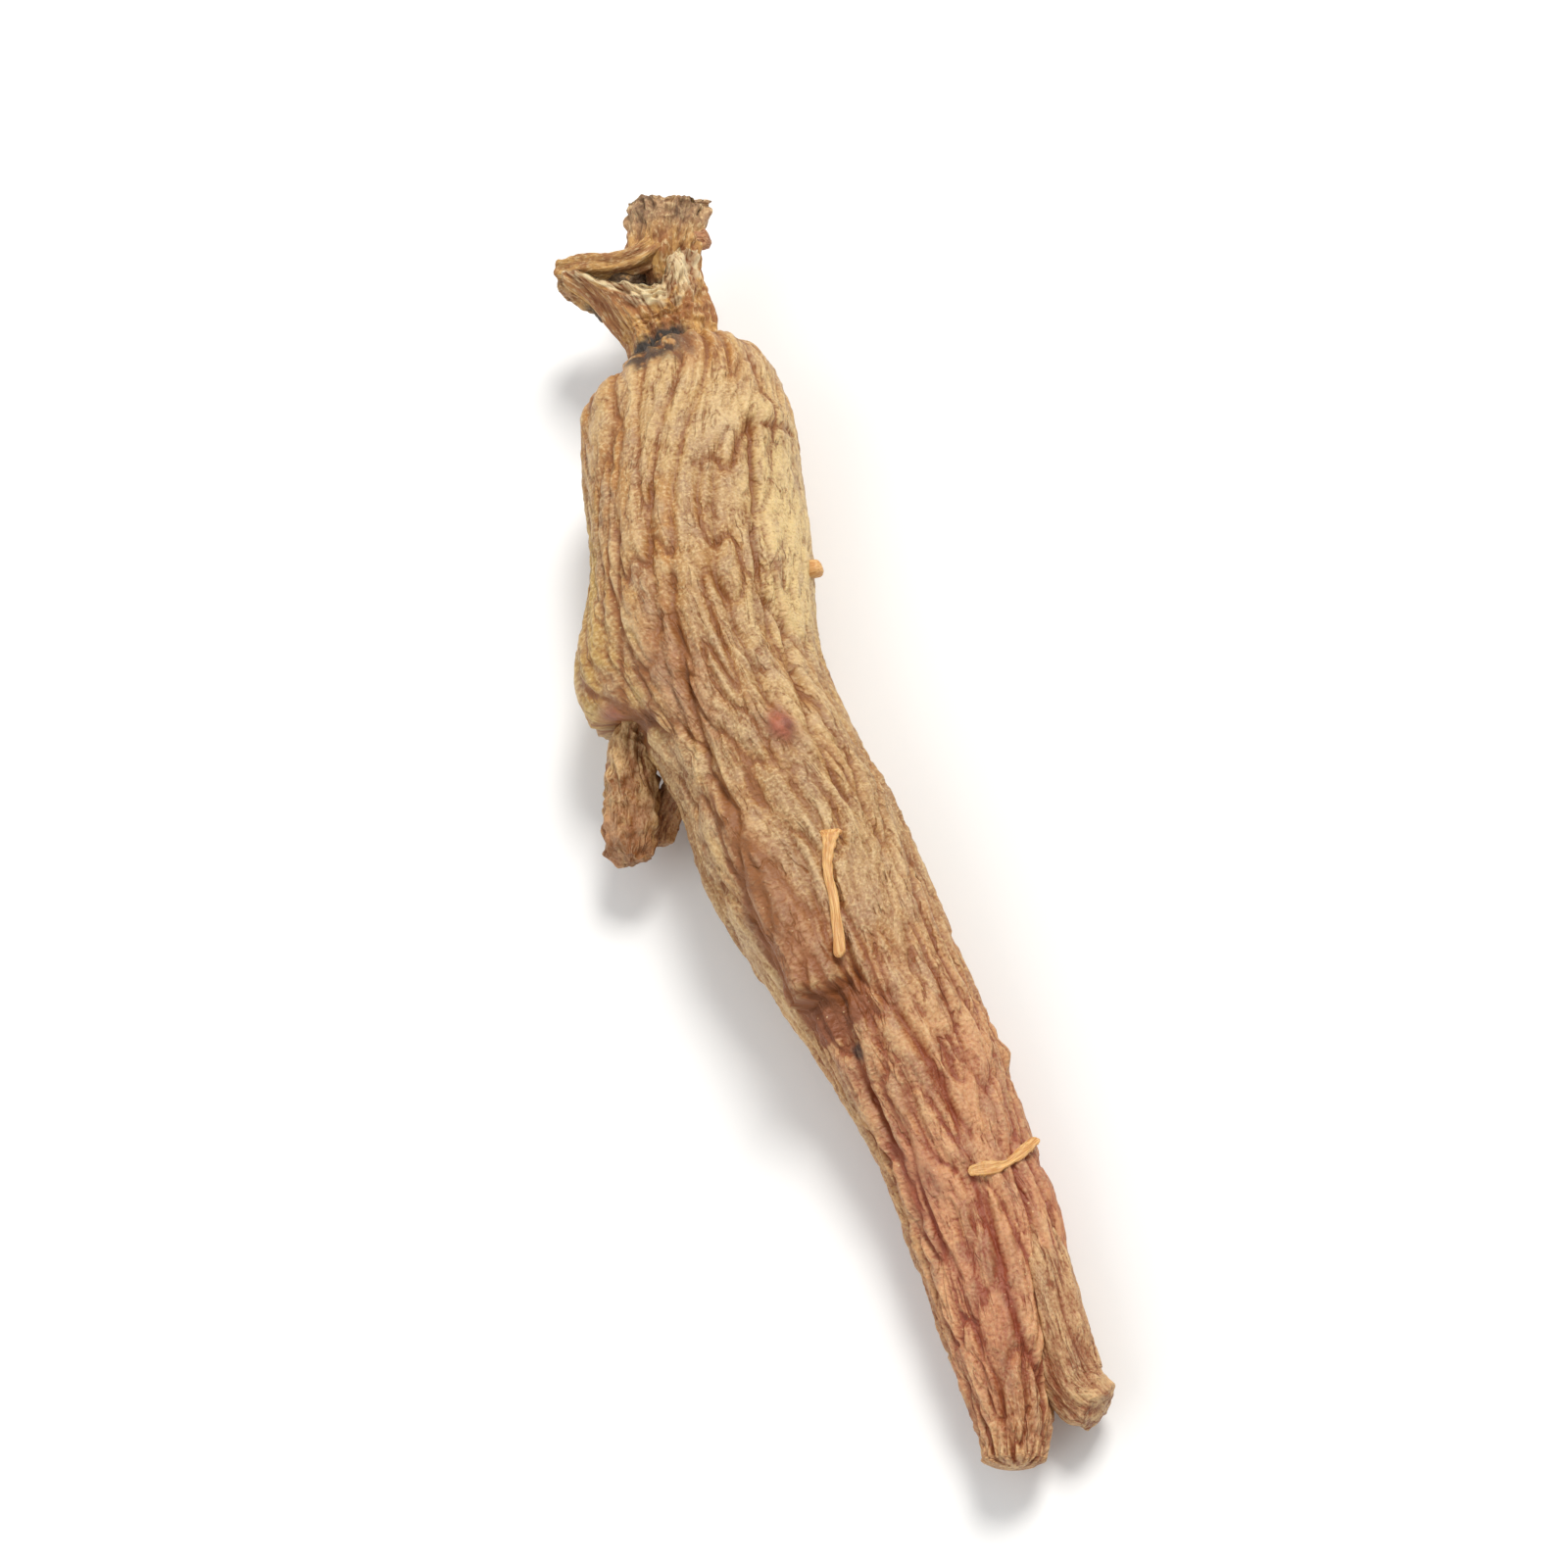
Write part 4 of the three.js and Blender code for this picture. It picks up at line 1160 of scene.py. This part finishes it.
# %% The cup, whose rim reaches furthest on the left
CUP = [
    (2.6, 32.2, 8.0, 3.7, 3.6),
    (2.6, 35.2, 8.2, 3.7, 3.5),
    (2.3, 37.0, 8.6, 4.1, 3.5),
    (2.0, 38.6, 8.9, 4.6, 3.5),
    (1.7, 39.8, 9.1, 5.1, 3.4),
]
RIM_LEFT_REACH, RIM_LEFT_MIDDLE, RIM_LEFT_SPREAD = 4.3, 10, 52
RIM_FRONT_DIP, RIM_FRONT_MIDDLE, RIM_FRONT_SPREAD = 2.1, 97, 28
CUP_FRONT = 115 * DEGREE


def bell(angle, middle, spread):
    """e^-(away / spread)^2, where away, middle and spread are degrees round the ring."""
    return np.exp(-((turn_between(middle * DEGREE, angle) / (spread * DEGREE)) ** 2))


def cup_slant(angle):
    """How far the rim reaches: a bell round the left, at angle 0, less a narrower bell on top."""
    left = RIM_LEFT_REACH * bell(angle, RIM_LEFT_MIDDLE, RIM_LEFT_SPREAD)
    return left - RIM_FRONT_DIP * bell(angle, RIM_FRONT_MIDDLE, RIM_FRONT_SPREAD)


def granular(grid):
    """Height of the lumps on the cup, which cover its front and right above the dark ring."""
    front = soft_step(np.cos(grid.angle - CUP_FRONT), 0.35, 0.8)
    return 0.15 + 0.9 * front * soft_step(grid.y, 33.8, 34.2)


def rim_cream(grid):
    """Pale skin on the torn rim and not inside it, which reaches further down the front and the right."""
    down = 0.9 - 0.45 * soft_step(np.cos(grid.angle - CUP_FRONT), 0.3, 0.9)
    torn = 0.85 * soft_step(grid.share + 0.35 * stretched_noise(grid, 1.0, 1.0, 4.7), down, down + 0.15)
    return torn * (1 - soft_step(grid.end, 0.3, 0.6))


def cup_dark(grid):
    """The dark ring at the cup's foot, on its upper left, and painted shade inside its mouth."""
    foot = 1 - soft_step(grid.y + 0.7 * stretched_noise(grid, 0.8, 0.8, 6.3), 33.3, 34.3)
    left = soft_step(np.cos(grid.angle - 45 * DEGREE), 0.1, 0.5)
    return np.maximum(foot * left, 0.9 * soft_step(grid.end, 0.35, 0.8))


growth("cup", CUP, 260, 200, dome(1), pit(0.5, 2.4), fibres=9, lift=0.22, material=BARK,
       marks={"dark": cup_dark, "cream": rim_cream}, ragged=1.6, slant=cup_slant, lumpy=granular)

# %% The stump, the strap, the prong and the knob
STEM_STUMP = [
    (2.4, 36.5, 7.6, 2.4, 2.0),
    (3.2, 39.5, 7.6, 2.4, 1.8),
    (4.1, 42.3, 8.9, 2.9, 2.3),
    (5.0, 44.8, 9.3, 3.1, 2.4),
    (5.6, 46.5, 9.4, 3.1, 2.3),
]
STRAP = [
    (-4.2, 44.4, 9.2, 1.1, 1.2),
    (-2.2, 43.3, 9.9, 1.2, 1.4),
    (0.3, 42.0, 10.5, 1.1, 1.3),
    (2.3, 41.7, 10.7, 1.1, 1.3),
    (3.9, 42.8, 9.9, 1.5, 1.3),
    (4.7, 44.6, 8.3, 1.7, 1.3),
]
PRONG = [(1.0, 39.8, 8.2, 3.0, 2.4), (-1.8, 42.6, 8.3, 2.4, 2.0), (-3.8, 44.3, 8.5, 1.6, 1.6)]
KNOB = [(6.2, 43.0, 9.4, 0.9, 0.9), (7.5, 42.4, 9.4, 0.8, 0.8)]

# The stump's foot and the prong's root sit in the cup's mouth, so their dark marking is painted shade there
stump_marks = {
    "weathered": lambda grid: soft_step(grid.share, 0.5, 0.8),
    "dark": lambda grid: 0.85 * (1 - soft_step(grid.y, 40.0, 41.2)),
}
prong_marks = {
    "weathered": lambda grid: 0.6 * grid.share,
    "dark": lambda grid: 0.85 * (1 - soft_step(grid.share, 0.3, 0.55)),
}
growth("stem_stump", STEM_STUMP, 150, 140, dome(0.5), dome(0.5), fibres=5, lift=0.2, material=BARK,
       marks=stump_marks, ragged=1.3, lumpy=lambda grid: 0.9 * grid.share)
growth("strap", STRAP, 100, 160, dome(0.5), dome(0.5), fibres=6, lift=0.14, material=BARK,
       marks={"weathered": 0.15}, ragged=0.3)
growth("prong", PRONG, 110, 100, dome(0.5), dome(0.6), fibres=5, lift=0.2, material=BARK,
       marks=prong_marks, ragged=0.8, lumpy=0.5)
growth("knob", KNOB, 50, 40, dome(0.3), dome(0.6), fibres=3, lift=0.05, material=SKIN,
       marks={"pink": 0.2, "tail": 0.6, "amber": 0.5}, ragged=0.6, lumpy=0.3)
